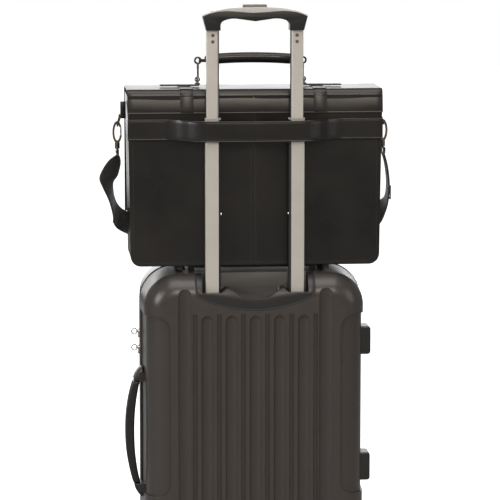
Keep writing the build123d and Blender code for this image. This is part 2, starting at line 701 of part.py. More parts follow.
# ---------------------------------------------------------------- laptop case: side rings, hooks, shoulder strap
RING_Y = -14.0
RING_Z = 806.0
RING_X = BAG_HALF_WIDTH + 3.4
HOOK_X = BAG_HALF_WIDTH + 8.6
HOOK_MID_Z = 781.0
HOOK_LOW = 757.0
RING_BAR_Z = HOOK_MID_Z + 11.2
with BuildPart() as ring_tabs:
    for side in (-1, 1):
        with Locations((side * (BAG_HALF_WIDTH + 1.7), RING_Y, RING_Z + 13)):
            Box(2.8, 20, 28)
        with Locations(Location((side * RING_X, RING_Y, RING_Z + 3), (90, 0, 0))):
            Cylinder(3.0, 20)
            Cylinder(1.8, 30, mode=Mode.SUBTRACT)
save(ring_tabs, "ring_tabs")

with BuildPart() as d_rings:
    for side in (-1, 1):
        high, low = (side * RING_X, RING_Z + 3), (side * HOOK_X, RING_BAR_Z)
        with BuildLine() as ring_path:
            FilletPolyline((high[0], RING_Y - 15, high[1]), (high[0], RING_Y + 15, high[1]),
                           (low[0], RING_Y + 13, low[1]), (low[0], RING_Y - 13, low[1]),
                           radius=3.5, close=True)
        with BuildSketch(Plane(origin=ring_path.line @ 0, z_dir=ring_path.line % 0)):
            Circle(1.3)
        sweep(path=ring_path.line)
save(d_rings, "d_rings")

GATE_Z = HOOK_MID_Z + 2
with BuildPart() as snap_hooks:
    for side in (-1, 1):
        with BuildSketch(Plane.XZ.offset(-RING_Y - 2.6)):
            with Locations((side * HOOK_X, HOOK_MID_Z)):
                Ellipse(8.2, 19)
                Ellipse(4.6, 13.6, mode=Mode.SUBTRACT)
        extrude(amount=5.2)
    for side in (-1, 1):
        with Locations((side * HOOK_X, RING_Y, HOOK_LOW + 1.5)):
            Cylinder(4.2, 10)
        # The gate closes this gap, on the side next to the case.
        with Locations((side * (HOOK_X - 5.9), RING_Y, GATE_Z)):
            Box(6.0, 8, 13, mode=Mode.SUBTRACT)
save(snap_hooks, "snap_hooks")

for side, name in ((-1, "left"), (1, "right")):
    with BuildPart() as hook_gate:
        with Locations((side * (HOOK_X - 6.2), RING_Y, GATE_Z)):
            Box(2.4, 4, 12.2)
    save(hook_gate, f"hook_gate_{name}")

with BuildPart() as strap_rings:
    for side in (-1, 1):
        with Locations((side * HOOK_X, RING_Y, HOOK_LOW - 9)):
            Box(4.4, 43, 10)
            Box(6, 38.6, 5.6, mode=Mode.SUBTRACT)
        with Locations((side * HOOK_X, RING_Y, HOOK_LOW - 5.6)):
            Cylinder(2, 4)
save(strap_rings, "strap_rings")


def webbing(stations, name):
    """A flat strap through stations: (centre, across, facing), joined by straight rulings."""
    with BuildPart() as strap:
        for centre, across, facing in stations:
            across = Vector(*across).normalized()
            normal = across.cross(Vector(*facing)).normalized()
            with BuildSketch(Plane(origin=centre, x_dir=across, z_dir=normal)):
                Rectangle(*WEBBING)
        loft(ruled=True)
    save(strap, name)


# Each station's facing is the way out of the strap's flat side.
webbing([((-HOOK_X, RING_Y, 742.5), (0, 1, 0), (1, 0, 0)),
         ((-236, -11, 722), (0.25, 1, -0.1), (1, -0.25, 0.4)),
         ((-SIDE_REACH + 4.6, -3, 704), (0.2, 1, -0.1), (1, -0.2, 0)),
         ((-238, 17, 672), (0.1, 1, 0.2), (1, -0.1, -0.35)),
         ((-229, 45, 636), (0.15, 0.8, 0.7), (1, -0.3, -0.1))], "strap_left_drop")
webbing([((HOOK_X, RING_Y, 742.5), (0, 1, 0), (1, 0, 0)),
         ((233, -11, 720), (0, 1, 0), (1, 0, 0)),
         ((237, -1, 690), (0, 1, 0.1), (1, 0, 0)),
         ((237, 15, 658), (0, 1, 0.2), (1, 0, 0)),
         ((229, 45, 632), (-0.15, 0.8, 0.7), (1, 0.3, -0.1))], "strap_right_drop")
webbing([((-227.5, 50, 632), (0.2, 0.5, 0.85), (1, -0.4, 0)),
         ((-212, 63, 619), (0.2, 0.3, 0.95), (0.5, -1, 0.2)),
         ((-165, 65, 602), (0.1, 0, 1), (0, -1, 0)),
         ((-80, 65, 588), (0.05, 0, 1), (0, -1, 0)),
         ((0, 65, 583), (0, 0, 1), (0, -1, 0)),
         ((80, 65, 588), (-0.05, 0, 1), (0, -1, 0)),
         ((165, 65, 600), (-0.1, 0, 1), (0, -1, 0)),
         ((212, 63, 615), (-0.2, 0.3, 0.95), (-0.5, -1, 0.2)),
         ((227.5, 50, 628), (-0.2, 0.5, 0.85), (-1, -0.4, 0))], "strap_front_run")

with BuildPart() as strap_slider:
    with Locations((237 + 2.6, 7, 674)):
        Box(2, 44, 24)
        for z in (-5.2, 5.2):
            with Locations((0, 0, z)):
                Box(4, 37, 7, mode=Mode.SUBTRACT)
save(strap_slider, "strap_slider")
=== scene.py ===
# %% [markdown]
# # A rolling laptop case
# The object is two pieces of luggage used as one: a hard-shelled trolley case, and a black leather laptop
# case that slides over its telescopic handle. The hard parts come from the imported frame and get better
# finishes here. Everything of leather is modelled here, around the plain solids that hold its place.

import bpy
import bmesh
import json
import math
from mathutils import Matrix, Vector, noise

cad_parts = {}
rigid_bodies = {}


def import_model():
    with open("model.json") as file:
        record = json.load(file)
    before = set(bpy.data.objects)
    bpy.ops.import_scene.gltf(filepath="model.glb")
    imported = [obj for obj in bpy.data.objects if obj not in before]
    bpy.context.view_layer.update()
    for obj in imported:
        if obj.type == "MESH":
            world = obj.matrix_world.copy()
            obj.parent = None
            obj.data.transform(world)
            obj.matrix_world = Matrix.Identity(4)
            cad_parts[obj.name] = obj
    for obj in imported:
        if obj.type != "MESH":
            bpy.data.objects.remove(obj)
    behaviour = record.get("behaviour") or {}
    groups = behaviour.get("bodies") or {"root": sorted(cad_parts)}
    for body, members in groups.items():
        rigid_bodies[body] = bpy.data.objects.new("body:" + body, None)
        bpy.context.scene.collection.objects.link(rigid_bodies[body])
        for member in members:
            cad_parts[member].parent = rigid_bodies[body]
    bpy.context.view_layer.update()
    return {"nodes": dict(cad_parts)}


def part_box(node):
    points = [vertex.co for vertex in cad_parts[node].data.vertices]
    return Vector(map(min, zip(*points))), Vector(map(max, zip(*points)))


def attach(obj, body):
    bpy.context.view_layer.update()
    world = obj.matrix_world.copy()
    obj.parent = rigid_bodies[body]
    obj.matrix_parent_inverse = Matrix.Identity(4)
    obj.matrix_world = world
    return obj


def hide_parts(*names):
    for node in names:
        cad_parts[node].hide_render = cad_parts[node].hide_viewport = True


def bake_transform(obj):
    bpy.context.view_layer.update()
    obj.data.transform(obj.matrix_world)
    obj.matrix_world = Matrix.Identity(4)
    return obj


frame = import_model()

nodes = frame["nodes"]
print("frame loaded:", len(nodes), "nodes")

# %% [markdown]
# ## Helpers
# So each new piece starts with nothing selected, and a few short helpers do the steps that every
# piece needs.

# %% Helpers for making and finishing pieces
MM = 0.001


def deselect_all():
    """Leaves nothing selected and no piece active, in object mode."""
    if bpy.context.object and bpy.context.object.mode != "OBJECT":
        bpy.ops.object.mode_set(mode="OBJECT")
    bpy.ops.object.select_all(action="DESELECT")
    bpy.context.view_layer.objects.active = None


def pick(piece):
    """Makes one piece the only selected and active one."""
    deselect_all()
    piece.select_set(True)
    bpy.context.view_layer.objects.active = piece


def apply_modifiers(piece):
    """Applies every modifier of a piece, from first to last."""
    pick(piece)
    for modifier in list(piece.modifiers):
        bpy.ops.object.modifier_apply(modifier=modifier.name)


def settle(piece):
    """Puts a piece's place into its mesh, so that its object sits at the origin."""
    pick(piece)
    bpy.ops.object.transform_apply(location=True, rotation=True, scale=True)


def smooth(piece, degrees=35):
    """Shades faces smooth where they meet at less than an angle."""
    pick(piece)
    bpy.ops.object.shade_smooth_by_angle(angle=math.radians(degrees))


def finish_piece(piece, name, body, material, stands_for=(), angle=35):
    """The last steps of a new piece: its name, body, finish and the frame nodes it stands for."""
    piece.name = name
    piece.data.name = name
    settle(piece)
    smooth(piece, angle)
    piece.data.materials.clear()
    piece.data.materials.append(material)
    if body:
        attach(piece, body)
    if stands_for:
        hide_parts(*stands_for)
    return piece


def block(low, high, name="block"):
    """A cube between two corners, in metres, left selected in object mode."""
    deselect_all()
    centre = (Vector(low) + Vector(high)) / 2
    bpy.ops.mesh.primitive_cube_add(size=1, location=centre)
    piece = bpy.context.object
    piece.name = name
    piece.scale = Vector(high) - Vector(low)
    settle(piece)
    return piece


def bevel(piece, width, segments=3, limit=30):
    """Rounds the edges that turn by more than limit degrees."""
    step = piece.modifiers.new("rounding", "BEVEL")
    step.width = width
    step.segments = segments
    step.limit_method = "ANGLE"
    step.angle_limit = math.radians(limit)
    apply_modifiers(piece)


def subdivide_surface(piece, levels):
    """Smooths a piece with a subdivision surface, the same at both of its levels."""
    step = piece.modifiers.new("smoothing", "SUBSURF")
    step.levels = levels
    step.render_levels = levels
    apply_modifiers(piece)


def cut_edges(piece, axis, places):
    """Bisects a piece at several places along one axis, which adds loops without changing its shape."""
    pick(piece)
    bpy.ops.object.mode_set(mode="EDIT")
    for place in places:
        bpy.ops.mesh.select_all(action="SELECT")
        spot = [0, 0, 0]
        normal = [0, 0, 0]
        spot[axis] = place
        normal[axis] = 1
        bpy.ops.mesh.bisect(plane_co=spot, plane_no=normal)
    bpy.ops.object.mode_set(mode="OBJECT")


def steps(low, high, count):
    """Evenly spaced places between two ends, the ends left out."""
    return [low + (high - low) * i / count for i in range(1, count)]


def move_points(piece, shift):
    """Moves each vertex by shift(point), a function that returns a vector."""
    for vertex in piece.data.vertices:
        vertex.co += shift(vertex.co)
    piece.data.update()


def between(value, low=0, high=1):
    """The value, kept from going below low or above high."""
    return min(high, max(low, value))


def copied(name, piece, places):
    """A mesh of many copies of a small piece, which is then removed.

    Each place is a centre and a 3 by 3 matrix that turns and stretches the copy.
    """
    corners = [vertex.co.copy() for vertex in piece.data.vertices]
    faces = [tuple(polygon.vertices) for polygon in piece.data.polygons]
    bpy.data.objects.remove(piece)
    points = []
    polygons = []
    for centre, turn in places:
        base = len(points)
        points += [centre + turn @ corner for corner in corners]
        polygons += [tuple(base + index for index in face) for face in faces]
    mesh = bpy.data.meshes.new(name)
    mesh.from_pydata(points, [], polygons)
    copies = bpy.data.objects.new(name, mesh)
    bpy.context.collection.objects.link(copies)
    return copies


# %% [markdown]
# ## Shader groups
# Three effects are used by more than one finish: a fine grain, soft wear on edges, and slow colour
# variation. Each is a node group with named sockets, built once and given its own values in each finish.
# A group puts out masks and heights only, and the Principled shader stays in the material.


# %% Shader groups
PEBBLE_SMOOTHNESS = 0.6
PEBBLE_BREAK_SCALE = 0.45
CLOUD_ROUGHNESS = 0.6
# Pointiness is 0.5 on a flat face and changes little on an edge, so wear enlarges the difference.
FLAT_POINTINESS = 0.5
WEAR_GAIN = 9


def new_group(name, inputs, outputs):
    """An empty node group with number sockets, and its input and output nodes."""
    group = bpy.data.node_groups.new(name, "ShaderNodeTree")
    for label, value in inputs.items():
        socket = group.interface.new_socket(name=label, in_out="INPUT", socket_type="NodeSocketFloat")
        socket.default_value = value
    for label in outputs:
        group.interface.new_socket(name=label, in_out="OUTPUT", socket_type="NodeSocketFloat")
    way_in = group.nodes.new("NodeGroupInput")
    way_out = group.nodes.new("NodeGroupOutput")
    return group, way_in, way_out


def add_node(tree, kind, **settings):
    """A new node in a tree, with some of its settings."""
    node = tree.nodes.new(kind)
    for key, value in settings.items():
        setattr(node, key, value)
    return node


def math_node(tree, operation, first, second=None):
    """A math node: its inputs are sockets or plain numbers."""
    node = add_node(tree, "ShaderNodeMath", operation=operation)
    for index, value in enumerate((first, second)):
        if value is None:
            continue
        if isinstance(value, (int, float)):
            node.inputs[index].default_value = value
        else:
            tree.links.new(value, node.inputs[index])
    return node.outputs[0]


def build_grain_group():
    """Pebbled grain: cells for the pebbles and noise that breaks them up."""
    group, way_in, way_out = new_group("grain", {"Scale": 900, "Break up": 0.4}, ["Height"])
    place = add_node(group, "ShaderNodeTexCoord")
    cells = add_node(group, "ShaderNodeTexVoronoi", feature="SMOOTH_F1")
    cells.inputs["Smoothness"].default_value = PEBBLE_SMOOTHNESS
    rough = add_node(group, "ShaderNodeTexNoise")
    rough.inputs["Detail"].default_value = 3
    group.links.new(place.outputs["Object"], cells.inputs["Vector"])
    group.links.new(place.outputs["Object"], rough.inputs["Vector"])
    group.links.new(way_in.outputs["Scale"], cells.inputs["Scale"])
    wider = math_node(group, "MULTIPLY", way_in.outputs["Scale"], PEBBLE_BREAK_SCALE)
    group.links.new(wider, rough.inputs["Scale"])
    broken = math_node(group, "MULTIPLY", rough.outputs["Fac"], way_in.outputs["Break up"])
    group.links.new(math_node(group, "ADD", cells.outputs["Distance"], broken), way_out.inputs["Height"])
    return group


def build_cloud_group():
    """Slow variation over the whole surface, for polish, handling and dye, and on the leather for painted
    reflection.
    """
    group, way_in, way_out = new_group("clouds", {"Scale": 12, "Contrast": 1.6}, ["Mask"])
    place = add_node(group, "ShaderNodeTexCoord")
    cloud = add_node(group, "ShaderNodeTexNoise")
    cloud.inputs["Detail"].default_value = 4
    cloud.inputs["Roughness"].default_value = CLOUD_ROUGHNESS
    group.links.new(place.outputs["Object"], cloud.inputs["Vector"])
    group.links.new(way_in.outputs["Scale"], cloud.inputs["Scale"])
    centred = math_node(group, "SUBTRACT", cloud.outputs["Fac"], 0.5)
    spread = math_node(group, "MULTIPLY", centred, way_in.outputs["Contrast"])
    mask = add_node(group, "ShaderNodeMath", operation="ADD", use_clamp=True)
    group.links.new(spread, mask.inputs[0])
    mask.inputs[1].default_value = 0.5
    group.links.new(mask.outputs[0], way_out.inputs["Mask"])
    return group


def build_wear_group():
    """Edge wear: bright where the surface turns sharply, broken by noise."""
    group, way_in, way_out = new_group("edge_wear", {"Reach": 1.0, "Scale": 60}, ["Mask"])
    shape = add_node(group, "ShaderNodeNewGeometry")
    place = add_node(group, "ShaderNodeTexCoord")
    patch = add_node(group, "ShaderNodeTexNoise")
    group.links.new(place.outputs["Object"], patch.inputs["Vector"])
    group.links.new(way_in.outputs["Scale"], patch.inputs["Scale"])
    edge = math_node(group, "SUBTRACT", shape.outputs["Pointiness"], FLAT_POINTINESS)
    edge = math_node(group, "MULTIPLY", edge, WEAR_GAIN)
    edge = math_node(group, "MULTIPLY", edge, way_in.outputs["Reach"])
    broken = math_node(group, "MULTIPLY", edge, patch.outputs["Fac"])
    mask = add_node(group, "ShaderNodeMath", operation="ADD", use_clamp=True)
    group.links.new(broken, mask.inputs[0])
    mask.inputs[1].default_value = 0.0
    group.links.new(mask.outputs[0], way_out.inputs["Mask"])
    return group


GRAIN = build_grain_group()
CLOUDS = build_cloud_group()
WEAR = build_wear_group()
print("shader groups:", GRAIN.name, CLOUDS.name, WEAR.name)

# %% [markdown]
# ## Finishes
# Every finish is the same recipe with its own values: a base colour that clouds and wear change a
# little, a roughness that varies over the surface, and a bump from grain. One function builds the
# recipe, so that each material below is only its values and what is special to it.


# %% The recipe for a finish
SHEEN_SPREAD = 0.5


def finish(name, color, second, roughness, metallic=0.0, grain=900, bump=0.05, clouds=12, wear=0.0,
           worn=(0.3, 0.3, 0.3), sheen=0.0, roughness_spread=0.08, depth=0.4 * MM):
    """A procedural material. color and second are linear, and clouds mixes between them."""
    material = bpy.data.materials.new(name)
    material.use_nodes = True
    tree = material.node_tree
    shader = tree.nodes["Principled BSDF"]
    shader.inputs["Metallic"].default_value = metallic
    shader.inputs["Sheen Weight"].default_value = sheen
    shader.inputs["Sheen Roughness"].default_value = SHEEN_SPREAD

    cloud = add_node(tree, "ShaderNodeGroup", node_tree=CLOUDS)
    cloud.inputs["Scale"].default_value = clouds
    mixed = add_node(tree, "ShaderNodeMix", data_type="RGBA")
    mixed.inputs["A"].default_value = (*color, 1)
    mixed.inputs["B"].default_value = (*second, 1)
    tree.links.new(cloud.outputs["Mask"], mixed.inputs["Factor"])
    surface = mixed.outputs["Result"]
    if wear:
        edge = add_node(tree, "ShaderNodeGroup", node_tree=WEAR)
        edge.inputs["Reach"].default_value = wear
        rubbed = add_node(tree, "ShaderNodeMix", data_type="RGBA")
        rubbed.inputs["B"].default_value = (*worn, 1)
        tree.links.new(surface, rubbed.inputs["A"])
        tree.links.new(edge.outputs["Mask"], rubbed.inputs["Factor"])
        surface = rubbed.outputs["Result"]
    tree.links.new(surface, shader.inputs["Base Color"])

    pebbles = add_node(tree, "ShaderNodeGroup", node_tree=GRAIN)
    pebbles.inputs["Scale"].default_value = grain
    swing = math_node(tree, "MULTIPLY", cloud.outputs["Mask"], roughness_spread)
    swing = math_node(tree, "ADD", swing, roughness - roughness_spread / 2)
    tree.links.new(swing, shader.inputs["Roughness"])
    relief = add_node(tree, "ShaderNodeBump")
    relief.inputs["Strength"].default_value = bump
    relief.inputs["Distance"].default_value = depth
    tree.links.new(pebbles.outputs["Height"], relief.inputs["Height"])
    tree.links.new(relief.outputs["Normal"], shader.inputs["Normal"])
    return material


# %% The finishes
# The leather's lighter brown second colour, mixed in by clouds, is partly tone that differs at random and
# partly painted reflection: soft brown patches of sheen in the base colour.
leather = finish("black_leather", (0.003, 0.0028, 0.0026), (0.015, 0.0125, 0.0105), 0.3, grain=900, bump=0.14,
                 clouds=7, roughness_spread=0.16, depth=0.3 * MM)
leather_edge = finish("leather_edge", (0.05, 0.044, 0.036), (0.075, 0.066, 0.054), 0.5, grain=1500, bump=0.1)
thread = finish("thread", (0.035, 0.031, 0.026), (0.06, 0.052, 0.043), 0.7, grain=2600, bump=0.3)
bag_lining = finish("bag_lining", (0.02, 0.02, 0.022), (0.03, 0.03, 0.033), 0.85, grain=2400, bump=0.4,
                    sheen=0.3)
shell = finish("shell_plastic", (0.042, 0.035, 0.031), (0.049, 0.041, 0.036), 0.3, grain=1800, bump=0.08,
               clouds=9, wear=0.25, worn=(0.09, 0.078, 0.07))
trim = finish("trim_plastic", (0.014, 0.0135, 0.0135), (0.02, 0.019, 0.019), 0.36, grain=1600, bump=0.12,
              wear=0.3, worn=(0.06, 0.058, 0.056))
grip_plastic = finish("grip_plastic", (0.008, 0.0075, 0.0072), (0.013, 0.012, 0.0115), 0.36, grain=1700,
                      bump=0.12)
cover_plastic = finish("grip_cover_plastic", (0.5, 0.485, 0.46), (0.55, 0.535, 0.51), 0.3, grain=1800,
                       bump=0.06)
button_plastic = finish("button_plastic", (0.16, 0.135, 0.105), (0.2, 0.17, 0.135), 0.35, grain=1800,
                        bump=0.06)
rivet_steel = finish("rivet_steel", (0.16, 0.115, 0.09), (0.24, 0.18, 0.14), 0.3, metallic=0.6, grain=900,
                     bump=0.06, clouds=160)
zip_cloth = finish("zip_cloth", (0.012, 0.012, 0.012), (0.02, 0.02, 0.02), 0.75, grain=2600, bump=0.4,
                   sheen=0.2)
collar = finish("collar_plastic", (0.36, 0.34, 0.31), (0.4, 0.38, 0.35), 0.45)
bronze = finish("bronze_metal", (0.04, 0.034, 0.028), (0.075, 0.062, 0.05), 0.26, metallic=1.0, grain=900,
                bump=0.06, clouds=160, wear=1.0, worn=(0.42, 0.34, 0.25))
nickel = finish("zip_metal", (0.55, 0.55, 0.56), (0.62, 0.62, 0.62), 0.2, metallic=1.0, grain=700, bump=0.03)
tyre = finish("wheel_rubber", (0.018, 0.018, 0.018), (0.028, 0.028, 0.027), 0.6, grain=1500, bump=0.2)

# %% [markdown]
# ### Drawn aluminium
# The tubes were drawn through a die, which leaves fine lines along them. Stretching a noise texture by a
# Mapping node gives such lines. The side of each tube that faces the other tube is painted dark, as painted
# shade for its rounded inner edge in shadow, and the Object coordinate's distance from the middle tells the
# material where that side is.

# %% Drawn aluminium
# The tubes' inner faces lie nearer the middle than this, and their other faces lie further out; the painted
# shade covers what lies nearer.
SHADED_SIDE_X = 60.8 * MM
# Noise cells per metre across the tube, twice, and along it.
DRAWN_LINES = (2600, 2600, 14)
LINE_DEPTH = 0.12
# The colour of the painted shade on the tubes' inner sides.
PAINTED_SHADE_COLOR = (0.05, 0.049, 0.048, 1)


def tube_finish():
    """Drawn aluminium: fine scratches along the tube, a warm anodised colour, and painted shade on the side
    that faces the other tube.
    """
    material = finish("tube_aluminium", (0.62, 0.585, 0.53), (0.67, 0.635, 0.58), 0.36, metallic=0.5,
                      clouds=20, roughness_spread=0.06)
    tree = material.node_tree
    relief = [node for node in tree.nodes if node.type == "BUMP"][0]
    place = add_node(tree, "ShaderNodeTexCoord")
    stretch = add_node(tree, "ShaderNodeMapping")
    stretch.inputs["Scale"].default_value = DRAWN_LINES
    lines = add_node(tree, "ShaderNodeTexNoise")
    lines.inputs["Scale"].default_value = 1
    lines.inputs["Detail"].default_value = 3
    tree.links.new(place.outputs["Object"], stretch.inputs["Vector"])
    tree.links.new(stretch.outputs["Vector"], lines.inputs["Vector"])
    tree.links.new(lines.outputs["Fac"], relief.inputs["Height"])
    relief.inputs["Strength"].default_value = LINE_DEPTH
    parts = add_node(tree, "ShaderNodeSeparateXYZ")
    tree.links.new(place.outputs["Object"], parts.inputs["Vector"])
    inner_side = math_node(tree, "LESS_THAN", math_node(tree, "ABSOLUTE", parts.outputs["X"]), SHADED_SIDE_X)
    shader = tree.nodes["Principled BSDF"]
    bright = shader.inputs["Base Color"].links[0].from_socket
    # Painted shade: the side that faces the other tube gets a dark colour, for its rounded inner edge in
    # shadow.
    painted_shade = add_node(tree, "ShaderNodeMix", data_type="RGBA")
    painted_shade.inputs["B"].default_value = PAINTED_SHADE_COLOR
    tree.links.new(bright, painted_shade.inputs["A"])
    tree.links.new(inner_side, painted_shade.inputs["Factor"])
    tree.links.new(painted_shade.outputs["Result"], shader.inputs["Base Color"])
    return material


aluminium = tube_finish()
print("finishes:", len(bpy.data.materials))

# %% [markdown]
# ## Finishes on the frame's own parts
# The hard parts already have their true shape, so they only change their finish. Each finish takes the
# place of the one that the mesh came with, and nothing is moved.

# %% Finishes on the frame's parts
CORNERS = ("rear_left", "rear_right", "front_left", "front_right")
HARD_PARTS = {
    shell: ["rear_shell", "front_shell"],
    trim: ["handle_well", "side_feet", "bag_feet", "handle_brackets", "tube_bracket", "top_handle",
           "rear_caster_housings", "front_caster_housings"] + ["fork_" + corner for corner in CORNERS],
    grip_plastic: ["grip_body", "side_handle"],
    cover_plastic: ["grip_cover"],
    button_plastic: ["release_button"],
    rivet_steel: ["tube_rivets"],
    aluminium: ["outer_tubes", "mid_tubes", "inner_tubes", "push_rods"],
    collar: ["mid_tube_collars"],
    zip_cloth: ["rear_zip_band", "front_zip_band"],
    bag_lining: ["lining_panel", "laptop_sleeve"],
    bronze: ["handle_loops", "handle_links", "d_rings", "snap_hooks", "hook_gate_left", "hook_gate_right",
             "strap_rings", "strap_slider", "flap_clasps"],
    nickel: ["zip_sliders", "zip_ring_1", "zip_ring_2", "mid_tube_studs"],
    tyre: ["wheels_" + corner for corner in CORNERS],
    leather: ["bag_body", "front_pocket", "flap", "flap_yoke", "yoke_straps", "flap_straps", "sleeve_strap",
              "handle_tabs", "carry_grip", "grip_end_loops", "ring_tabs", "strap_left_drop",
              "strap_right_drop", "strap_front_run"],
}
for material, names in HARD_PARTS.items():
    for name in names:
        mesh = nodes[name].data
        mesh.materials.clear()
        mesh.materials.append(material)
print("finished frame parts:", sum(len(names) for names in HARD_PARTS.values()))

# %% [markdown]
# ## Leather sheets
# Flat leather parts - the flap, the sleeve strap, the reinforcing straps - are all one thing: a sheet that
# runs along a path and turns its corners in soft bends. It could be drawn as a curve and extruded, but a
# plane extruded edge by edge, with its corner edges beveled and its thickness added last, keeps clean quads
# that take a little sag well.


# %% Selecting and making sheets
NEAR = 0.01 * MM
FACING = 0.9


def select_near(piece, test):
    """Selects the vertices for which test(point) is true, and the edges and faces between them."""
    bpy.ops.object.mode_set(mode="EDIT")
    bpy.ops.mesh.select_mode(type="VERT")
    bpy.ops.mesh.select_all(action="DESELECT")
    mesh = bmesh.from_edit_mesh(piece.data)
    for vertex in mesh.verts:
        vertex.select = bool(test(vertex.co))
    mesh.select_flush(True)
    bmesh.update_edit_mesh(piece.data)


def select_facing(piece, direction):
    """Selects the faces that look along a direction."""
    pick(piece)
    bpy.ops.object.mode_set(mode="EDIT")
    bpy.ops.mesh.select_mode(type="FACE")
    bpy.ops.mesh.select_all(action="DESELECT")
    mesh = bmesh.from_edit_mesh(piece.data)
    for face in mesh.faces:
        face.select = face.normal.dot(Vector(direction)) > FACING
    bmesh.update_edit_mesh(piece.data)


def sheet_along(path, across, thickness, bends, segments=8):
    """A sheet along path, its width the vector across. bends gives each inner corner's bend radius."""
    path = [Vector(point) for point in path]
    across = Vector(across)
    deselect_all()
    bpy.ops.mesh.primitive_plane_add(size=1)
    piece = bpy.context.object
    corners = (path[0], path[0] + across, path[1], path[1] + across)
    for vertex, corner in zip(piece.data.vertices, corners):
        vertex.co = corner

    def select_edge(end):
        select_near(piece, lambda point: min((point - end).length, (point - end - across).length) < NEAR)

    for start, end in zip(path[1:-1], path[2:]):
        select_edge(start)
        bpy.ops.mesh.extrude_region_move(TRANSFORM_OT_translate={"value": end - start})
    for corner, radius in zip(path[1:-1], bends):
        select_edge(corner)
        bpy.ops.mesh.bevel(offset=radius, segments=segments, profile=0.5, affect="EDGES")
    bpy.ops.object.mode_set(mode="OBJECT")
    return thicken(piece, thickness)


def thicken(piece, thickness):
    """Gives a sheet its thickness, half to each side."""
    step = piece.modifiers.new("thickness", "SOLIDIFY")
    step.thickness = thickness
    step.offset = 0
    step.use_even_offset = True
    apply_modifiers(piece)
    return piece


def leather_sag(strength, scale, seed, direction):
    """A shift that moves leather in and out along a direction, by smooth noise."""
    axis = Vector(direction)

    def shift(point):
        spot = Vector((point.x * scale + seed, point.y * scale, point.z * scale))
        return axis * noise.noise(spot) * strength
    return shift


# %% [markdown]
# ## The laptop case's body
# The body is four soft walls and a bottom, open above. It starts as a cube. The lower corners are beveled
# round, loops are cut for the leather to sag between, the top is deleted, and a Solidify gives the walls
# their thickness. The seam down the middle of the back is a narrow valley between three loops.

# %% Laptop case body
body_low, body_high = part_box("bag_body")
body = block(body_low, body_high, "body")
BOTTOM_CORNER = 18 * MM
SIDE_TAPER = 4 * MM
BODY_WALL = 2.6 * MM
select_near(body, lambda point: point.z < body_low.z + MM)
bpy.ops.transform.resize(value=(1 - SIDE_TAPER / body_high.x, 1, 1))
bpy.ops.object.mode_set(mode="OBJECT")
pick(body)
bpy.ops.object.mode_set(mode="EDIT")
bpy.ops.mesh.select_mode(type="EDGE")
bpy.ops.mesh.select_all(action="DESELECT")
mesh = bmesh.from_edit_mesh(body.data)
for edge in mesh.edges:
    ends = [vertex.co for vertex in edge.verts]
    edge.select = max(end.z for end in ends) < body_low.z + MM and abs(ends[0].x - ends[1].x) < MM
bmesh.update_edit_mesh(body.data)
bpy.ops.mesh.bevel(offset=BOTTOM_CORNER, segments=6, affect="EDGES")
bpy.ops.object.mode_set(mode="OBJECT")
select_facing(body, (0, 0, 1))
bpy.ops.mesh.delete(type="FACE")
bpy.ops.object.mode_set(mode="OBJECT")
SEAM_HALF = 1.6 * MM
SEAM_DEPTH = 1.3 * MM
cut_edges(body, 0, steps(body_low.x, body_high.x, 31) + [-SEAM_HALF, 0.0, SEAM_HALF])
cut_edges(body, 2, steps(body_low.z, body_high.z, 22))
cut_edges(body, 1, steps(body_low.y, body_high.y, 8))
BACK_WAVE = leather_sag(strength=2.6 * MM, scale=9, seed=3.1, direction=(0, 1, 0))
SIDE_WAVE = leather_sag(strength=3.0 * MM, scale=11, seed=8.7, direction=(1, 0, 0))
BACK_HOLLOW = 1.2 * MM
FRONT_HOLLOW = 2 * MM
SIDE_HOLLOW = 5 * MM
BOTTOM_HOLLOW = 1.5 * MM


def bulge(value, low, high):
    """A hump that is nothing at low and high, and 1 halfway between them."""
    return math.sin(math.pi * between((value - low) / (high - low)))


def body_shape(point):
    """Walls drawn in a little between their edges, with slow waves, and the back seam's valley."""
    across = 1 - abs(point.x) / body_high.x
    upward = bulge(point.z, body_low.z, body_high.z)
    through = bulge(point.y, body_low.y, body_high.y)
    shift = Vector((0, 0, 0))
    if point.y < body_low.y + MM:
        wave = abs(BACK_WAVE(point).y)
        shift.y = BACK_HOLLOW * upward * min(1, across * 6) + wave * min(1, across * 8) * upward
        if abs(point.x) < MM * 0.5:
            shift.y += SEAM_DEPTH
    elif point.y > body_high.y - MM:
        shift.y = -FRONT_HOLLOW * upward * min(1, across * 4)
    if abs(point.x) > body_high.x - SIDE_TAPER - MM:
        inward = -math.copysign(1, point.x)
        shift.x = (inward * SIDE_HOLLOW + SIDE_WAVE(point).x) * through * upward
    if point.z < body_low.z + MM:
        shift.z = BOTTOM_HOLLOW * through
    return shift


move_points(body, body_shape)
bevel(body, 3.2 * MM, segments=3, limit=50)
wall = body.modifiers.new("walls", "SOLIDIFY")
wall.thickness = BODY_WALL
wall.offset = -1
apply_modifiers(body)
finish_piece(body, "laptop_case_body", "laptop_case", leather, ["bag_body"])
print("body:", len(body.data.polygons), "faces")

# %% [markdown]
# ## The flap
# The flap and the yoke below it on the back are one hide: it starts at a stitched edge on the back, turns
# over the rounded top edge, runs forward over the opening and hangs down the front. The sheet is attached
# to no rigid body.

# %% Flap
yoke_low, yoke_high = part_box("flap_yoke")
flap_low, flap_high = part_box("flap")
HIDE = 2.6 * MM
hide_back = yoke_low.y + HIDE / 2
hide_top = flap_high.z - HIDE / 2
hide_front = flap_high.y - HIDE / 2
hide_middle = (hide_back + hide_front) / 2
flap_path = [(flap_low.x, hide_back, yoke_low.z), (flap_low.x, hide_back, hide_top),
             (flap_low.x, hide_front, hide_top), (flap_low.x, hide_front, flap_low.z)]
flap_width = (flap_high.x - flap_low.x, 0, 0)
BACK_BEND = 6 * MM
FRONT_BEND = 14 * MM
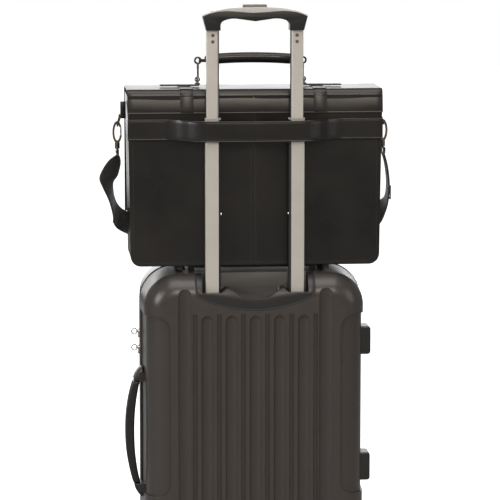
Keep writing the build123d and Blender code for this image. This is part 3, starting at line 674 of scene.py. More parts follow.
# The back of the hide leans forward toward the top by this much, and the lean fades out along the top.
LEAN = 7 * MM
LEAN_FADE = 60 * MM
TOP_FADE = 20 * MM
FLAP_WAVE = 2.4 * MM


def over_flap(piece):
    """Puts a sheet's place into its mesh; the sheet stays attached to no body."""
    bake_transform(piece)


def slow_wave(depth):
    """The lean of a hide's back, and slow waves: down on its top, inward on its back and front."""
    wave = leather_sag(strength=depth, scale=10, seed=5.5, direction=(0, 0, 1))

    def shift(point):
        lift = wave(point).z
        height = max(0, (point.z - yoke_low.z) / (hide_top - yoke_low.z))
        fade = between(1 - (point.y - hide_back) / LEAN_FADE)
        lean = LEAN * height ** 2 * fade
        if point.y > hide_middle and point.z < hide_top - 3 * MM:
            return Vector((0, lift * 0.8, 0))
        on_top = between((point.y - hide_back) / TOP_FADE)
        return Vector((0, lean + abs(lift) * 0.5 * (1 - on_top), -abs(lift) * 0.5 * on_top))
    return shift


def flap_loops(sheet, back_clearance):
    """Loops across the three runs of a sheet that goes over the flap, clear of its bends."""
    front_loops = steps(flap_low.z, flap_high.z - FRONT_BEND - 2 * MM, 14)
    back_loops = steps(yoke_low.z, flap_high.z - back_clearance, 5)
    cut_edges(sheet, 2, front_loops + back_loops)
    cut_edges(sheet, 1, steps(hide_back + BACK_BEND + 2 * MM, hide_front - FRONT_BEND - 2 * MM, 10))


flap = sheet_along(flap_path, flap_width, HIDE, [BACK_BEND, FRONT_BEND])
cut_edges(flap, 0, steps(flap_low.x, flap_high.x, 40))
flap_loops(flap, back_clearance=6 * MM)
move_points(flap, slow_wave(FLAP_WAVE))
bevel(flap, 0.8 * MM, segments=2, limit=60)
finish_piece(flap, "flap_leather", None, leather, ["flap", "flap_yoke"], angle=40)
over_flap(flap)
print("flap:", len(flap.data.polygons), "faces")

# %% [markdown]
# ## Reinforcing straps over the flap
# Two straps run over the flap from the yoke's edge to the clasps in front. They follow the flap's own
# path, a strap's thickness further out, so they are the same kind of sheet.

# %% Reinforcing straps
strap_low, strap_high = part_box("flap_straps")
STRAP_WIDTH = 22 * MM
STRAP_LEATHER = 1.6 * MM
strap_lift = HIDE / 2 + STRAP_LEATHER / 2 - 0.2 * MM
for side, side_name in ((-1, "left"), (1, "right")):
    edge_x = side * (strap_high.x - STRAP_WIDTH / 2) - STRAP_WIDTH / 2
    strap_path = [(edge_x, hide_back - strap_lift, yoke_low.z + MM),
                  (edge_x, hide_back - strap_lift, hide_top + strap_lift),
                  (edge_x, hide_front + strap_lift, hide_top + strap_lift),
                  (edge_x, hide_front + strap_lift, strap_low.z)]
    strap = sheet_along(strap_path, (STRAP_WIDTH, 0, 0), STRAP_LEATHER,
                        [BACK_BEND + strap_lift, FRONT_BEND + strap_lift])
    flap_loops(strap, back_clearance=8 * MM)
    move_points(strap, slow_wave(FLAP_WAVE))
    bevel(strap, 0.5 * MM, segments=2, limit=60)
    finish_piece(strap, "flap_strap_" + side_name, None, leather, ["flap_straps", "yoke_straps"],
                 angle=40)
    over_flap(strap)

# %% [markdown]
# ## The sleeve strap
# The wide band across the back is sewn flat at both ends and stands off between its stitch lines, so the
# telescopic handle's tubes pass behind it. Its two long edges are turned over a thin cord, which catches
# the light.

# %% Sleeve strap
sleeve_low, sleeve_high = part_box("sleeve_strap")
SLEEVE_LEATHER = 2.4 * MM
SEWN_X = 133 * MM
STAND_OFF_X = 97 * MM
SLEEVE_BEND = 19 * MM
SLEEVE_SAG = 1.6 * MM
SLEEVE_WAVE = 1.5 * MM
sewn_y = yoke_low.y - SLEEVE_LEATHER / 2 + 0.6 * MM
free_y = sleeve_low.y + SLEEVE_LEATHER / 2 - 0.4 * MM
sleeve_height = sleeve_high.z - sleeve_low.z


def sleeve_path(height):
    """The band's path across the back at one height."""
    return [(-body_high.x, sewn_y, height), (-SEWN_X, sewn_y, height), (-STAND_OFF_X, free_y, height),
            (STAND_OFF_X, free_y, height), (SEWN_X, sewn_y, height), (body_high.x, sewn_y, height)]


def sleeve_sag(point):
    """The band's middle hangs a little lower than its ends, and its face waves between the tubes."""
    along = math.cos(math.pi / 2 * min(1, abs(point.x) / SEWN_X))
    wave = noise.noise(Vector((point.x * 14, 2.2, point.z * 20)))
    inward = abs(wave) * SLEEVE_WAVE * min(1, along * 3)
    return Vector((0, inward, -SLEEVE_SAG * along))


sleeve = sheet_along(sleeve_path(sleeve_low.z), (0, 0, sleeve_height), SLEEVE_LEATHER, [SLEEVE_BEND] * 4,
                     segments=10)
cut_edges(sleeve, 0, steps(-body_high.x, body_high.x, 56))
cut_edges(sleeve, 2, steps(sleeve_low.z, sleeve_high.z, 5))
move_points(sleeve, sleeve_sag)
bevel(sleeve, 0.7 * MM, segments=2, limit=60)
finish_piece(sleeve, "sleeve_band", "laptop_case", leather, ["sleeve_strap"])

# %% Corded edges
CORD_PITCH = 12 * MM


def round_cord(path, radius, name, body, material, shape=None):
    """A thin cord along straight runs with soft corners, made from a curve and turned into a mesh."""
    curve = bpy.data.curves.new(name, "CURVE")
    curve.dimensions = "3D"
    curve.bevel_depth = radius
    curve.bevel_resolution = 2
    spline = curve.splines.new("NURBS")
    points = []
    for start, end in zip(path[:-1], path[1:]):
        start = Vector(start)
        end = Vector(end)
        count = max(2, int((end - start).length / CORD_PITCH))
        points += [start + (end - start) * i / count for i in range(count)]
    points.append(Vector(path[-1]))
    if shape:
        points = [point + shape(point) for point in points]
    spline.points.add(len(points) - 1)
    for control, point in zip(spline.points, points):
        control.co = (*point, 1)
    spline.order_u = 3
    spline.use_endpoint_u = True
    piece = bpy.data.objects.new(name, curve)
    bpy.context.collection.objects.link(piece)
    pick(piece)
    bpy.ops.object.convert(target="MESH")
    piece = bpy.context.object
    return finish_piece(piece, name, body, material, angle=60)


for edge_name, height in (("lower", sleeve_low.z + 0.8 * MM), ("upper", sleeve_high.z - 0.8 * MM)):
    edge_path = [(x, y - 0.6 * MM, z) for x, y, z in sleeve_path(height)]
    round_cord(edge_path, 1.3 * MM, "sleeve_edge_" + edge_name, "laptop_case", leather, sleeve_sag)
yoke_edge = [(x, hide_back - MM, yoke_low.z + MM) for x in (flap_low.x, flap_high.x)]
round_cord(yoke_edge, 1.2 * MM, "yoke_edge", "laptop_case", leather_edge)

# %% [markdown]
# ## Stitching
# A row of stitches is one small grain of thread, modelled once and copied along a line. The grain is a
# stretched icosphere with few faces, because there are hundreds of them.


# %% Stitch rows
STITCH_SHARE = 0.38
STITCH_HALF = 0.42 * MM
PROUD = 0.1 * MM


def stitch_row(name, lines, body, pitch=4.2 * MM, shape=None):
    """Stitches along several straight lines, given as (start, end), joined in one piece."""
    deselect_all()
    bpy.ops.mesh.primitive_ico_sphere_add(subdivisions=1, radius=1)
    grain = bpy.context.object
    stretch = Matrix.Diagonal((pitch * STITCH_SHARE, STITCH_HALF, STITCH_HALF))
    places = []
    for start, end in lines:
        start = Vector(start)
        end = Vector(end)
        along = (end - start).normalized()
        turn = along.to_track_quat("X", "Z").to_matrix() @ stretch
        for i in range(int((end - start).length / pitch)):
            centre = start + along * pitch * (i + 0.5)
            if shape:
                centre += shape(centre)
            places.append((centre, turn))
    row = copied(name, grain, places)
    return finish_piece(row, name, body, thread, angle=80)


def upright(x, y, low, high):
    """A line straight up."""
    return ((x, y, low), (x, y, high))


def level(left, right, y, z):
    """A line straight across."""
    return ((left, y, z), (right, y, z))


# %% Stitches on the sleeve strap, the yoke and its straps
EDGE_MARGIN = 3.6 * MM
DOUBLE_ROW = 5 * MM
sewn_face = sewn_y - SLEEVE_LEATHER / 2 - PROUD
sleeve_rows = (sleeve_low.z + EDGE_MARGIN, sleeve_high.z - EDGE_MARGIN)
sleeve_lines = []
for side in (-1, 1):
    for gap in (0, DOUBLE_ROW):
        x = side * (SEWN_X + gap)
        sleeve_lines.append(upright(x, sewn_face, sleeve_low.z + 2 * MM, sleeve_high.z - 2 * MM))
    for z in sleeve_rows:
        row_start = side * (SEWN_X + DOUBLE_ROW + 2 * MM)
        sleeve_lines.append(level(row_start, side * (body_high.x - 3 * MM), sewn_face, z))
stitch_row("sleeve_end_stitches", sleeve_lines, "laptop_case")
free_face = free_y - SLEEVE_LEATHER / 2 - PROUD
free_lines = [level(-STAND_OFF_X, STAND_OFF_X, free_face, z) for z in sleeve_rows]
stitch_row("sleeve_stitches", free_lines, "laptop_case", shape=sleeve_sag)
yoke_face = hide_back - HIDE / 2
yoke_line = level(flap_low.x + 3 * MM, flap_high.x - 3 * MM, yoke_face, yoke_low.z + 4.5 * MM)
stitch_row("yoke_stitches", [yoke_line], "laptop_case")
strap_face = hide_back - strap_lift - STRAP_LEATHER / 2
strap_row_gap = STRAP_WIDTH / 2 - 2 * MM
strap_lines = []
for side in (-1, 1):
    middle = side * (strap_high.x - STRAP_WIDTH / 2)
    for gap in (-strap_row_gap, strap_row_gap):
        strap_lines.append(upright(middle + gap, strap_face, yoke_low.z + 3 * MM, hide_top - BACK_BEND))
stitch_row("strap_stitches", strap_lines, "laptop_case", pitch=3.4 * MM, shape=slow_wave(FLAP_WAVE))

# %% Stitches on the back panel
# Seams that need no more than stitches run down both sides of the back seam, and round the back panel.
BACK_FACE = body_low.y - PROUD
SEAM_ROW_X = 4 * MM
PANEL_MARGIN = 9 * MM


def on_back(point):
    """Keeps a stitch on the back panel's own curve."""
    shift = body_shape(Vector((point.x, body_low.y, point.z)))
    return Vector((0, shift.y, 0))


panel_low = body_low.z + 6 * MM
panel_side = body_high.x - PANEL_MARGIN
panel_corner = 14 * MM
panel_lines = [upright(side * SEAM_ROW_X, BACK_FACE, panel_low, yoke_low.z) for side in (-1, 1)]
panel_lines += [upright(side * panel_side, BACK_FACE, body_low.z + 22 * MM, yoke_low.z) for side in (-1, 1)]
panel_lines.append(level(-panel_side + panel_corner, panel_side - panel_corner, BACK_FACE, panel_low))
stitch_row("back_panel_stitches", panel_lines, "laptop_case", shape=on_back)

# %% [markdown]
# ## Front pocket
# The pocket under the flap is a shallow leather box, rounded, with a panel that stands out in its middle.
# An inset face pushed forward makes the panel.

# %% Front pocket
pocket_low, pocket_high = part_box("front_pocket")
PANEL_HEIGHT = 3 * MM
POCKET_BORDER = 12 * MM
pocket = block(pocket_low, pocket_high, "pocket")
select_facing(pocket, (0, 1, 0))
bpy.ops.transform.translate(value=(0, -PANEL_HEIGHT, 0))
bpy.ops.mesh.inset(thickness=POCKET_BORDER)
bpy.ops.mesh.inset(thickness=PANEL_HEIGHT)
bpy.ops.transform.translate(value=(0, PANEL_HEIGHT, 0))
bpy.ops.object.mode_set(mode="OBJECT")
bevel(pocket, 3 * MM, segments=3)
finish_piece(pocket, "front_pocket_leather", "laptop_case", leather, ["front_pocket"])

# %% [markdown]
# ## The carry handle's grip
# The grip is leather rolled round a core and sewn along its lower side. It starts as a cylinder with
# loops cut along it. The middle rises in a shallow arch and the ends narrow to their loops.

# %% Carry grip
grip_low, grip_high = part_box("carry_grip")
GRIP_RISE = 3.5 * MM
GRIP_NARROWING = 0.42
NARROW_FROM = 0.86
GRIP_SEAM = 1.3 * MM
grip_half = grip_high.x
grip_radius = (grip_high.y - grip_low.y) / 2
grip_middle_y = (grip_high.y + grip_low.y) / 2
grip_axis_z = grip_high.z - grip_radius - GRIP_RISE
deselect_all()
bpy.ops.mesh.primitive_cylinder_add(vertices=28, radius=grip_radius, depth=2 * grip_half,
                                    location=(0, grip_middle_y, grip_axis_z), rotation=(0, math.pi / 2, 0))
carry_grip = bpy.context.object
settle(carry_grip)
cut_edges(carry_grip, 0, steps(-grip_half, grip_half, 26))


def rolled(point):
    """The arch, the narrowing ends, and the ridge of the seam below."""
    share = abs(point.x) / grip_half
    narrow = GRIP_NARROWING * max(0, (share - NARROW_FROM) / (1 - NARROW_FROM)) ** 1.6
    across = point.y - grip_middle_y
    upward = point.z - grip_axis_z
    seam = GRIP_SEAM if upward < -grip_radius * 0.9 and share < 0.9 else 0
    return Vector((0, -across * narrow, -upward * narrow + GRIP_RISE * (1 - share * share) - seam))


move_points(carry_grip, rolled)
bevel(carry_grip, 1.5 * MM, segments=3, limit=50)
finish_piece(carry_grip, "carry_grip_leather", "carry_handle", leather, ["carry_grip"],
             angle=50)

# %% [markdown]
# ## The shoulder strap
# The strap is a flat ribbed band that twists as it hangs: it leaves each hook ring flat to the side and
# turns to lie across the front. A grid is laid along smooth stations, each a centre and a direction across,
# and the grid's own UV map carries the ribs along the strap.


# %% A twisting strap
def smooth_between(values, position):
    """Catmull-Rom through values, at a position between 0 and the last index."""
    index = min(int(position), len(values) - 2)
    share = position - index
    before = values[max(index - 1, 0)]
    first = values[index]
    second = values[index + 1]
    after = values[min(index + 2, len(values) - 1)]
    return 0.5 * ((2 * first) + (second - before) * share
                  + (2 * before - 5 * first + 4 * second - after) * share ** 2
                  + (3 * first - before - 3 * second + after) * share ** 3)


def twisting_strap(name, stations, width, thickness, stands_for, lengthwise=60):
    """A strap through stations, each (centre in mm, direction across)."""
    centres = [Vector(centre) * MM for centre, _ in stations]
    acrosses = [Vector(across).normalized() for _, across in stations]
    deselect_all()
    bpy.ops.mesh.primitive_grid_add(x_subdivisions=lengthwise, y_subdivisions=4, size=1)
    strap = bpy.context.object
    for vertex in strap.data.vertices:
        position = (vertex.co.x + 0.5) * (len(stations) - 1)
        side = vertex.co.y
        centre = smooth_between(centres, position)
        across = smooth_between(acrosses, position).normalized()
        vertex.co = centre + across * side * width
    thicken(strap, thickness)
    bevel(strap, 0.5 * MM, segments=2, limit=60)
    return finish_piece(strap, name, "laptop_case", strap_weave, [stands_for], angle=50)


# %% Strap cloth
RIB_SCALE = 60
RIB_WOBBLE = 0.6


def weave_finish():
    """Ribbed strap cloth: fine cross ribs along the strap's own length."""
    material = finish("strap_weave", (0.03, 0.029, 0.029), (0.045, 0.043, 0.042), 0.5, bump=0.35, sheen=0.2)
    tree = material.node_tree
    relief = [node for node in tree.nodes if node.type == "BUMP"][0]
    place = add_node(tree, "ShaderNodeUVMap")
    ribs = add_node(tree, "ShaderNodeTexWave", wave_type="BANDS", bands_direction="X")
    ribs.inputs["Scale"].default_value = RIB_SCALE
    ribs.inputs["Distortion"].default_value = RIB_WOBBLE
    tree.links.new(place.outputs["UV"], ribs.inputs["Vector"])
    tree.links.new(ribs.outputs["Fac"], relief.inputs["Height"])
    return material


strap_weave = weave_finish()

# %% The shoulder strap's three runs
STRAP_BAND = 37 * MM
STRAP_CLOTH = 2.2 * MM
# Each station is a centre in millimetres and a direction across the strap. The front run starts and ends
# where the two drops end.
LEFT_CORNER = ((-227.5, 47, 636), (0.2, 0.55, 0.8))
RIGHT_CORNER = ((227.5, 47, 632), (-0.2, 0.55, 0.8))
LEFT_DROP = [
    ((-225.6, -14, 745), (0, 1, 0)),
    ((-230, -14, 735), (0.5, 0.85, 0)),
    ((-235, -13, 722), (0.8, 0.6, 0.1)),
    ((-240, -8, 706), (0.85, 0.5, 0.1)),
    ((-241, 3, 690), (0.5, 0.85, 0.15)),
    ((-235, 18, 668), (0.2, 0.9, 0.35)),
    ((-230, 35, 648), (0.1, 0.7, 0.7)),
    LEFT_CORNER]
RIGHT_DROP = [
    ((225.6, -14, 744), (0, 1, 0)),
    ((232, -11, 722), (0, 1, 0.05)),
    ((237, -1, 690), (0, 1, 0.1)),
    ((237, 15, 660), (0, 1, 0.25)),
    ((232, 34, 642), (-0.1, 0.8, 0.6)),
    RIGHT_CORNER]
FRONT_RUN = [
    LEFT_CORNER,
    ((-214, 61, 621), (0.2, 0.3, 0.95)),
    ((-165, 65, 602), (0.1, 0, 1)),
    ((-80, 65, 588), (0.05, 0, 1)),
    ((0, 65, 583), (0, 0, 1)),
    ((80, 65, 588), (-0.05, 0, 1)),
    ((165, 65, 600), (-0.1, 0, 1)),
    ((214, 61, 617), (-0.2, 0.3, 0.95)),
    RIGHT_CORNER]
twisting_strap("shoulder_strap_left", LEFT_DROP, STRAP_BAND, STRAP_CLOTH, "strap_left_drop")
twisting_strap("shoulder_strap_right", RIGHT_DROP, STRAP_BAND, STRAP_CLOTH, "strap_right_drop")
twisting_strap("shoulder_strap_front", FRONT_RUN, STRAP_BAND, STRAP_CLOTH, "strap_front_run", lengthwise=110)

# %% [markdown]
# ## Softened copies
# A few hard parts have their right size in the frame but edges that are too sharp. A copy of such a
# part is merged, its flat faces are dissolved and its edges are beveled, and it stands for the original.
# The grip's copy is also cut in the middle and mirrored, because its two halves have to be alike.

# %% Softened copies
MERGE = 0.01 * MM
FLAT_ANGLE = math.radians(4)
# Near the middle, the grip's underside lies below this height and the floors of its hollows above it.
UNDERSIDE_TOP = 975 * MM
# How far from the middle the underside is changed, and how steeply it runs down to the middle.
FAIR_REACH = 25 * MM
FAIR_SLOPE = 0.2


def evened(piece):
    """Keeps the left half of a piece and mirrors it, so that both halves are alike."""
    bpy.ops.object.mode_set(mode="EDIT")
    bpy.ops.mesh.select_all(action="SELECT")
    bpy.ops.mesh.remove_doubles(threshold=MERGE)
    bpy.ops.mesh.select_all(action="SELECT")
    bpy.ops.mesh.bisect(plane_co=(0, 0, 0), plane_no=(1, 0, 0), clear_outer=True)
    bpy.ops.object.mode_set(mode="OBJECT")
    other_half = piece.modifiers.new("other half", "MIRROR")
    other_half.merge_threshold = 2 * MERGE
    apply_modifiers(piece)
    bpy.ops.object.mode_set(mode="EDIT")
    bpy.ops.mesh.select_all(action="SELECT")
    bpy.ops.mesh.normals_make_consistent(inside=False)
    bpy.ops.object.mode_set(mode="OBJECT")
    # Both halves run downwards to the middle, where a parabola turns their meeting point into a curve.
    for vertex in piece.data.vertices:
        near = FAIR_REACH - abs(vertex.co.x)
        if near > 0 and vertex.co.z < UNDERSIDE_TOP:
            vertex.co.z += FAIR_SLOPE / (2 * FAIR_REACH) * near ** 2


def softened(node, width, body, material, segments=3, limit=28, alike=False):
    """A copy of a frame node with rounded edges, which stands for it."""
    mesh = nodes[node].data.copy()
    piece = bpy.data.objects.new(node + "_soft", mesh)
    bpy.context.collection.objects.link(piece)
    pick(piece)
    if alike:
        evened(piece)
    bpy.ops.object.mode_set(mode="EDIT")
    bpy.ops.mesh.select_all(action="SELECT")
    bpy.ops.mesh.remove_doubles(threshold=MERGE)
    bpy.ops.mesh.dissolve_limited(angle_limit=FLAT_ANGLE)
    bpy.ops.object.mode_set(mode="OBJECT")
    bevel(piece, width, segments, limit)
    return finish_piece(piece, node + "_soft", body, material, [node])


softened("grip_body", 2.4 * MM, "handle_grip", grip_plastic, alike=True)
softened("grip_cover", 1.2 * MM, "handle_grip", cover_plastic)
softened("handle_tabs", 0.7 * MM, "case_flap", leather, segments=2)
softened("grip_end_loops", 1.1 * MM, "carry_handle", leather)
softened("ring_tabs", 0.8 * MM, "laptop_case", leather, segments=2)
softened("handle_well", 0.7 * MM, "trolley_case", trim, segments=2, limit=40)
softened("lining_panel", 0.6 * MM, "trolley_case", bag_lining, segments=2)

# %% [markdown]
# ## The left side drawn in
# The soft case is a little narrower to the left of the tubes than to the right, where its ring's tab pulls
# it out. The finished leather pieces are drawn in on that side alone, by a smooth shift.

# %% Left side drawn in
DRAWN_IN = 6 * MM
DRAW_START = 140 * MM


def drawn_in(point):
    """A shift to the right that grows from nothing at DRAW_START to DRAWN_IN at the left side."""
    share = between((-point.x - DRAW_START) / (body_high.x - DRAW_START))
    return Vector((DRAWN_IN * share * share * (3 - 2 * share), 0, 0))


def tab_root(point):
    """Lengthens the left ring's tab to the wall that was drawn in, and leaves the tab's outer part."""
    return Vector((DRAWN_IN if -body_high.x - 1.6 * MM < point.x < 0 else 0, 0, 0))


for piece_name in ("laptop_case_body", "flap_leather", "sleeve_band", "sleeve_edge_lower",
                   "sleeve_edge_upper", "yoke_edge", "sleeve_end_stitches", "yoke_stitches",
                   "back_panel_stitches", "front_pocket_leather"):
    move_points(bpy.data.objects[piece_name], drawn_in)
move_points(bpy.data.objects["ring_tabs_soft"], tab_root)

# %% [markdown]
# ## The laptop sleeve
# The padded divider inside the laptop case is foam between two cloths, quilted across. It is a slim block,
# remeshed, swelled by a short cloth simulation and capped, and the quilting is pressed in afterwards.


# %% Padded sleeve
def swelled(piece, pressure, cap, voxel, frames=18):
    """Remeshes a slim block and lets a cloth simulation swell it, no point moving further than cap."""
    pick(piece)
    step = piece.modifiers.new("even quads", "REMESH")
    step.mode = "VOXEL"
    step.voxel_size = voxel
    apply_modifiers(piece)
    before = [vertex.co.copy() for vertex in piece.data.vertices]
    cloth = piece.modifiers.new("cloth", "CLOTH")
    cloth.settings.use_pressure = True
    cloth.settings.uniform_pressure_force = pressure
    cloth.settings.effector_weights.gravity = 0
    scene = bpy.context.scene
    for frame_number in range(1, frames + 1):
        scene.frame_set(frame_number)
    pick(piece)
    bpy.ops.object.modifier_apply(modifier="cloth")
    for vertex, start in zip(piece.data.vertices, before):
        moved = vertex.co - start
        if moved.length > cap:
            vertex.co = start + moved.normalized() * cap
    scene.frame_set(1)
    return piece


pad_low, pad_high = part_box("laptop_sleeve")
# The block starts smaller than the pad, because the cloth swells.
PAD_ROOM = Vector((3 * MM, 1.6 * MM, 3 * MM))
pad = block(pad_low + PAD_ROOM, pad_high - PAD_ROOM, "pad")
swelled(pad, pressure=3, cap=2.2 * MM, voxel=3.6 * MM)
pad_middle = (pad_low.y + pad_high.y) / 2
QUILT_PITCH = 48 * MM
QUILT_DEPTH = 1.1 * MM
QUILT_REACH = 5 * MM


def quilted(point):
    """Presses upright channels into both faces of the pad."""
    offset = abs((point.x / QUILT_PITCH) % 1 - 0.5) * QUILT_PITCH
    press = max(0, 1 - offset / QUILT_REACH) ** 2
    return Vector((0, -math.copysign(QUILT_DEPTH * press, point.y - pad_middle), 0))


move_points(pad, quilted)
subdivide_surface(pad, 1)
finish_piece(pad, "laptop_sleeve_pad", "laptop_case", bag_lining, ["laptop_sleeve"],
             angle=60)

# %% [markdown]
# ## The trolley case's side handle
# The side handle is a thick strap of soft plastic between two caps. It bows out in the middle. Each long
# piece starts as a cube with loops cut along it, and a function gives the bow, the taper and the grooves.

# %% Side handle
side_low, side_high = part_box("side_handle")
HANDLE_THICKNESS = 15 * MM
HANDLE_BOW = 10 * MM
HANDLE_THINNING = 3 * MM
HANDLE_NARROWING = 0.16
GROOVE_DEPTH = 1.6 * MM
GROOVE_SPAN = (0.12, 0.28)
side_middle_z = (side_low.z + side_high.z) / 2
side_half_z = (side_high.z - side_low.z) / 2
side_middle_y = (side_low.y + side_high.y) / 2
side_root = side_high.x - 4 * MM
side_grip = block((side_root - HANDLE_THICKNESS, side_low.y, side_low.z),
                  (side_root, side_high.y, side_high.z), "grip")
cut_edges(side_grip, 2, steps(side_low.z, side_high.z, 24))
cut_edges(side_grip, 1, steps(side_low.y, side_high.y, 10))


def bowed(point):
    """The bow toward the outside, thinner ends, and two grooves along the outer face."""
    share = abs(point.z - side_middle_z) / side_half_z
    bow = -HANDLE_BOW * (1 - share ** 2.2)
    outer = point.x < side_root - HANDLE_THICKNESS / 2
    taper = HANDLE_THINNING * share ** 2 if outer else 0
    groove = 0
    across = abs(point.y - side_middle_y) / (side_high.y - side_low.y)
    if outer and GROOVE_SPAN[0] < across < GROOVE_SPAN[1] and share < 0.85:
        groove = GROOVE_DEPTH
    narrow = (point.y - side_middle_y) * -HANDLE_NARROWING * share ** 3
    return Vector((bow + taper + groove, narrow, 0))


move_points(side_grip, bowed)
bevel(side_grip, 2.4 * MM, segments=3, limit=50)
finish_piece(side_grip, "side_handle_grip", "side_grab", grip_plastic, ["side_handle"])

# %% The side handle's caps
CAP_REACH = 12 * MM
CAP_LENGTH = 24 * MM
CAP_NARROWING = 0.3
for end_name, root_z, tip_z in (("upper", side_high.z + MM, side_high.z + CAP_LENGTH),
                                ("lower", side_low.z - MM, side_low.z - CAP_LENGTH)):
    cap = block((side_high.x - 15 * MM, side_low.y - 2 * MM, min(root_z, tip_z)),
                (side_high.x + 2 * MM, side_high.y + 2 * MM, max(root_z, tip_z)), "cap")
    cut_edges(cap, 2, steps(min(root_z, tip_z), max(root_z, tip_z), 6))

    def tapered(point, root_z=root_z, tip_z=tip_z):
        share = max(0, (point.z - root_z) / (tip_z - root_z))
        inward = CAP_REACH * share ** 1.6 if point.x < side_high.x - 6 * MM else 0
        return Vector((inward, (side_middle_y - point.y) * CAP_NARROWING * share ** 2, 0))

    move_points(cap, tapered)
    bevel(cap, 2 * MM, segments=3, limit=40)
    finish_piece(cap, "side_handle_cap_" + end_name, "trolley_case", trim)

# %% [markdown]
# ## Zips
# The zip's teeth are one small block copied along the case's rim, a row on each half. Each slider's pull is
# a round ring, a torus turned upright.


# %% Zip teeth and pulls
def rim_points(half_x, low_z, high_z, radius, pitch):
    """Points and directions round an upright rounded rectangle, evenly spaced."""
    middle_z = (low_z + high_z) / 2
    half_z = (high_z - low_z) / 2
    straight_x = half_x - radius
    straight_z = half_z - radius
    places = []
    for start, end in (((-straight_x, half_z), (straight_x, half_z)),
                       ((half_x, straight_z), (half_x, -straight_z)),
                       ((straight_x, -half_z), (-straight_x, -half_z)),
                       ((-half_x, -straight_z), (-half_x, straight_z))):
        first = Vector(start)
        run = Vector(end) - first
        count = int(run.length / pitch)
        places += [(first + run * i / count, run.normalized()) for i in range(count)]
    for side_x, side_z, turn in ((1, 1, 0), (1, -1, -math.pi / 2), (-1, -1, math.pi), (-1, 1, math.pi / 2)):
        count = int(radius * math.pi / 2 / pitch)
        for i in range(count):
            angle = turn + math.pi / 2 * i / count
            outward = Vector((math.cos(angle), math.sin(angle)))
            places.append((Vector((side_x * straight_x, side_z * straight_z)) + outward * radius,
                           Vector((-outward.y, outward.x))))
    return [(Vector((place.x, 0, place.y + middle_z)), Vector((run.x, 0, run.y))) for place, run in places]


band_low, band_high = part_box("rear_zip_band")
TOOTH_PITCH = 3.4 * MM
TOOTH = Vector((1.9 * MM, 2.6 * MM, 1.8 * MM))
TOOTH_OFFSET = 1.9 * MM
TOOTH_INSET = 0.2 * MM
CORNER_RADIUS = 58 * MM
DEPTHWISE = Vector((0, 1, 0))
rim = rim_points(band_high.x - TOOTH_INSET, band_low.z + TOOTH_INSET, band_high.z - TOOTH_INSET,
                 CORNER_RADIUS, TOOTH_PITCH)
for half_name, side, rider in (("rear", -1, "trolley_case"), ("front", 1, "front_case")):
    deselect_all()
    bpy.ops.mesh.primitive_cube_add(size=1)
    tooth = bpy.context.object
    places = []
    for place, run in rim:
        # The matrix has the tooth's three edges as its columns.
        edges = Matrix((run * TOOTH.x, DEPTHWISE * TOOTH.y, run.cross(DEPTHWISE) * TOOTH.z)).transposed()
        places.append((place + DEPTHWISE * side * TOOTH_OFFSET, edges))
    teeth = copied("teeth", tooth, places)
    pick(teeth)
    bpy.ops.object.mode_set(mode="EDIT")
    bpy.ops.mesh.select_all(action="SELECT")
    bpy.ops.mesh.normals_make_consistent(inside=False)
    bpy.ops.object.mode_set(mode="OBJECT")
    finish_piece(teeth, "zip_teeth_" + half_name, rider, trim)

# %% Pull rings
RING_RADIUS = 4.8 * MM
RING_WIRE = 1.0 * MM
for number in (1, 2):
    ring_low, ring_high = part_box("zip_ring_%d" % number)
    hang_x = ring_high.x - 0.7 * MM
    ring_z = (ring_low.z + ring_high.z) / 2
    deselect_all()
    bpy.ops.mesh.primitive_torus_add(major_radius=RING_RADIUS, minor_radius=RING_WIRE, major_segments=36,
                                     minor_segments=12, location=(hang_x - RING_RADIUS, 0, ring_z),
                                     rotation=(math.pi / 2, 0, 0))
    ring = bpy.context.object
    finish_piece(ring, "zip_pull_ring_%d" % number, "zip_pull_%d" % number, nickel, ["zip_ring_%d" % number],
                 angle=60)

# %% [markdown]
# ## The handle well's edge
# A dark cord with the wheels' rubber finish lies in the joint between the handle well and the shell, as
# painted shade for the shadow in that gap. Rays cast at the shell find how deep its face is along the joint,
# and the cord is laid there.

# %% Joint round the handle well
JOINT_HALF = 99.6 * MM
JOINT_SIDE_Z = 515 * MM
JOINT_LOW_Z = 490.6 * MM
JOINT_TOP_Z = 546 * MM
JOINT_SIDE_STEPS = (526 * MM, 536 * MM)
JOINT_CORD = 1.3 * MM
# A ray starts well behind the shell, a little outside the joint, where it meets the shell and not the well.
RAY_START_Y = -400 * MM
RAY_OUTWARD = 1.022
RAY_DROP = 1.6 * MM


def joint_height(x):
    """The joint's lower edge, part of a wide circle."""
    sagitta = JOINT_SIDE_Z - JOINT_LOW_Z
    radius = (JOINT_HALF ** 2 + sagitta ** 2) / (2 * sagitta)
    return JOINT_LOW_Z + radius - math.sqrt(radius ** 2 - x ** 2)


def shell_depth(x, z):
    """How deep the rear shell's face is behind a point, found just outside the joint."""
    outside = Vector((x * RAY_OUTWARD, RAY_START_Y, z - RAY_DROP))
    hit, place, _, _ = nodes["rear_shell"].ray_cast(outside, Vector((0, 1, 0)))
    return place.y if hit else None


joint_places = [-JOINT_HALF] + steps(-JOINT_HALF, JOINT_HALF, 24) + [JOINT_HALF]
joint_path = [(-JOINT_HALF, z) for z in (JOINT_TOP_Z, *reversed(JOINT_SIDE_STEPS))]
joint_path += [(x, joint_height(x)) for x in joint_places]
joint_path += [(JOINT_HALF, z) for z in (*JOINT_SIDE_STEPS, JOINT_TOP_Z)]
joint_line = []
for x, z in joint_path:
    depth = shell_depth(x, z)
    if depth is not None:
        joint_line.append((x, depth + 0.3 * MM, z))
print("joint points:", len(joint_line), "of", len(joint_path))
# Painted shade: this dark cord stands for the shadow in the gap round the handle well.
round_cord(joint_line, JOINT_CORD, "well_joint", "trolley_case", tyre)

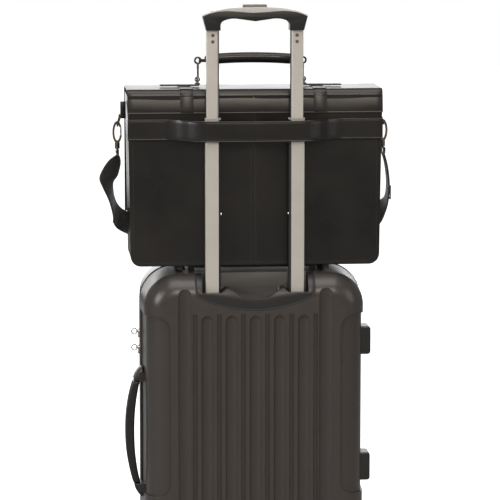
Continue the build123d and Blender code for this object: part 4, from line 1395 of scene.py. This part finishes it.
# %% [markdown]
# ## Stage, light and camera
# The object stands on a pale floor before a white backdrop. Both look white to the camera, but give the
# object little light, so that its black leather and dark shell keep their colours. The light comes from
# five large soft lamps: those above and behind make the long pale reflections along the leather's top,
# those at the sides pick out the round edges, and a warm one in front shows the ribs and the yoke.

# %% Stage
deselect_all()
bpy.ops.mesh.primitive_plane_add(size=24, location=(0, 0, 0))
floor = bpy.context.object
floor.name = "floor"
floor_paint = finish("floor_paint", (0.46, 0.46, 0.46), (0.48, 0.48, 0.48), 0.8, bump=0.0)
floor_shader = floor_paint.node_tree.nodes["Principled BSDF"]
floor_shader.inputs["Emission Color"].default_value = (1, 1, 1, 1)
first_look = add_node(floor_paint.node_tree, "ShaderNodeLightPath")
FLOOR_GLOW = 1.1
glow = math_node(floor_paint.node_tree, "MULTIPLY", first_look.outputs["Is Camera Ray"], FLOOR_GLOW)
floor_paint.node_tree.links.new(glow, floor_shader.inputs["Emission Strength"])
floor.data.materials.append(floor_paint)

# %% Room
ROOM_LIGHT = 0.24
BACKDROP = 1.0
world = bpy.context.scene.world or bpy.data.worlds.new("room")
bpy.context.scene.world = world
world.use_nodes = True
room = world.node_tree.nodes["Background"]
room.inputs["Color"].default_value = (1, 1, 1, 1)
seen = world.node_tree.nodes.new("ShaderNodeLightPath")
brightness = world.node_tree.nodes.new("ShaderNodeMapRange")
brightness.inputs["To Min"].default_value = ROOM_LIGHT
brightness.inputs["To Max"].default_value = BACKDROP
world.node_tree.links.new(seen.outputs["Is Camera Ray"], brightness.inputs["Value"])
world.node_tree.links.new(brightness.outputs["Result"], room.inputs["Strength"])
bpy.context.scene.view_settings.view_transform = "Standard"


# %% Lamps
def soft_light(name, place, target, size, power, color=(1, 1, 1)):
    """A large square light at place that faces target."""
    deselect_all()
    bpy.ops.object.light_add(type="AREA", location=place)
    light = bpy.context.object
    light.name = name
    light.data.size = size
    light.data.energy = power
    light.data.color = color
    light.visible_camera = False
    direction = Vector(target) - Vector(place)
    light.rotation_euler = direction.to_track_quat("-Z", "Y").to_euler()
    return light


WARM = (1.0, 0.88, 0.74)
soft_light("top_light", (0.0, -0.9, 3.0), (0, 0, 0.6), size=2.0, power=34)
soft_light("left_light", (-2.4, -1.6, 1.5), (0, 0, 0.6), size=1.2, power=34)
soft_light("right_light", (2.4, -1.8, 1.4), (0, 0, 0.5), size=1.4, power=10)
soft_light("back_light", (0.0, 3.2, 1.5), (0, 0, 0.8), size=2.6, power=42)
soft_light("front_light", (0.2, -5.2, 3.2), (0, 0, 0.8), size=1.6, power=80, color=WARM)

# %% Camera
CAMERA_DISTANCE = 4.6
CAMERA_AZIMUTH = math.radians(-5.0)
CAMERA_ELEVATION = math.radians(8)
CAMERA_LENS = 197
CAMERA_SENSOR = 36
AIM = Vector((-0.006, -0.074, 0.586))
away = Vector((math.sin(CAMERA_AZIMUTH) * math.cos(CAMERA_ELEVATION),
               -math.cos(CAMERA_AZIMUTH) * math.cos(CAMERA_ELEVATION), math.sin(CAMERA_ELEVATION)))
deselect_all()
bpy.ops.object.camera_add(location=AIM + away * CAMERA_DISTANCE)
camera = bpy.context.object
camera.rotation_euler = (-away).to_track_quat("-Z", "Y").to_euler()
camera.data.lens = CAMERA_LENS
camera.data.sensor_width = CAMERA_SENSOR
bpy.context.scene.camera = camera
print("camera at", [round(value, 2) for value in camera.location])
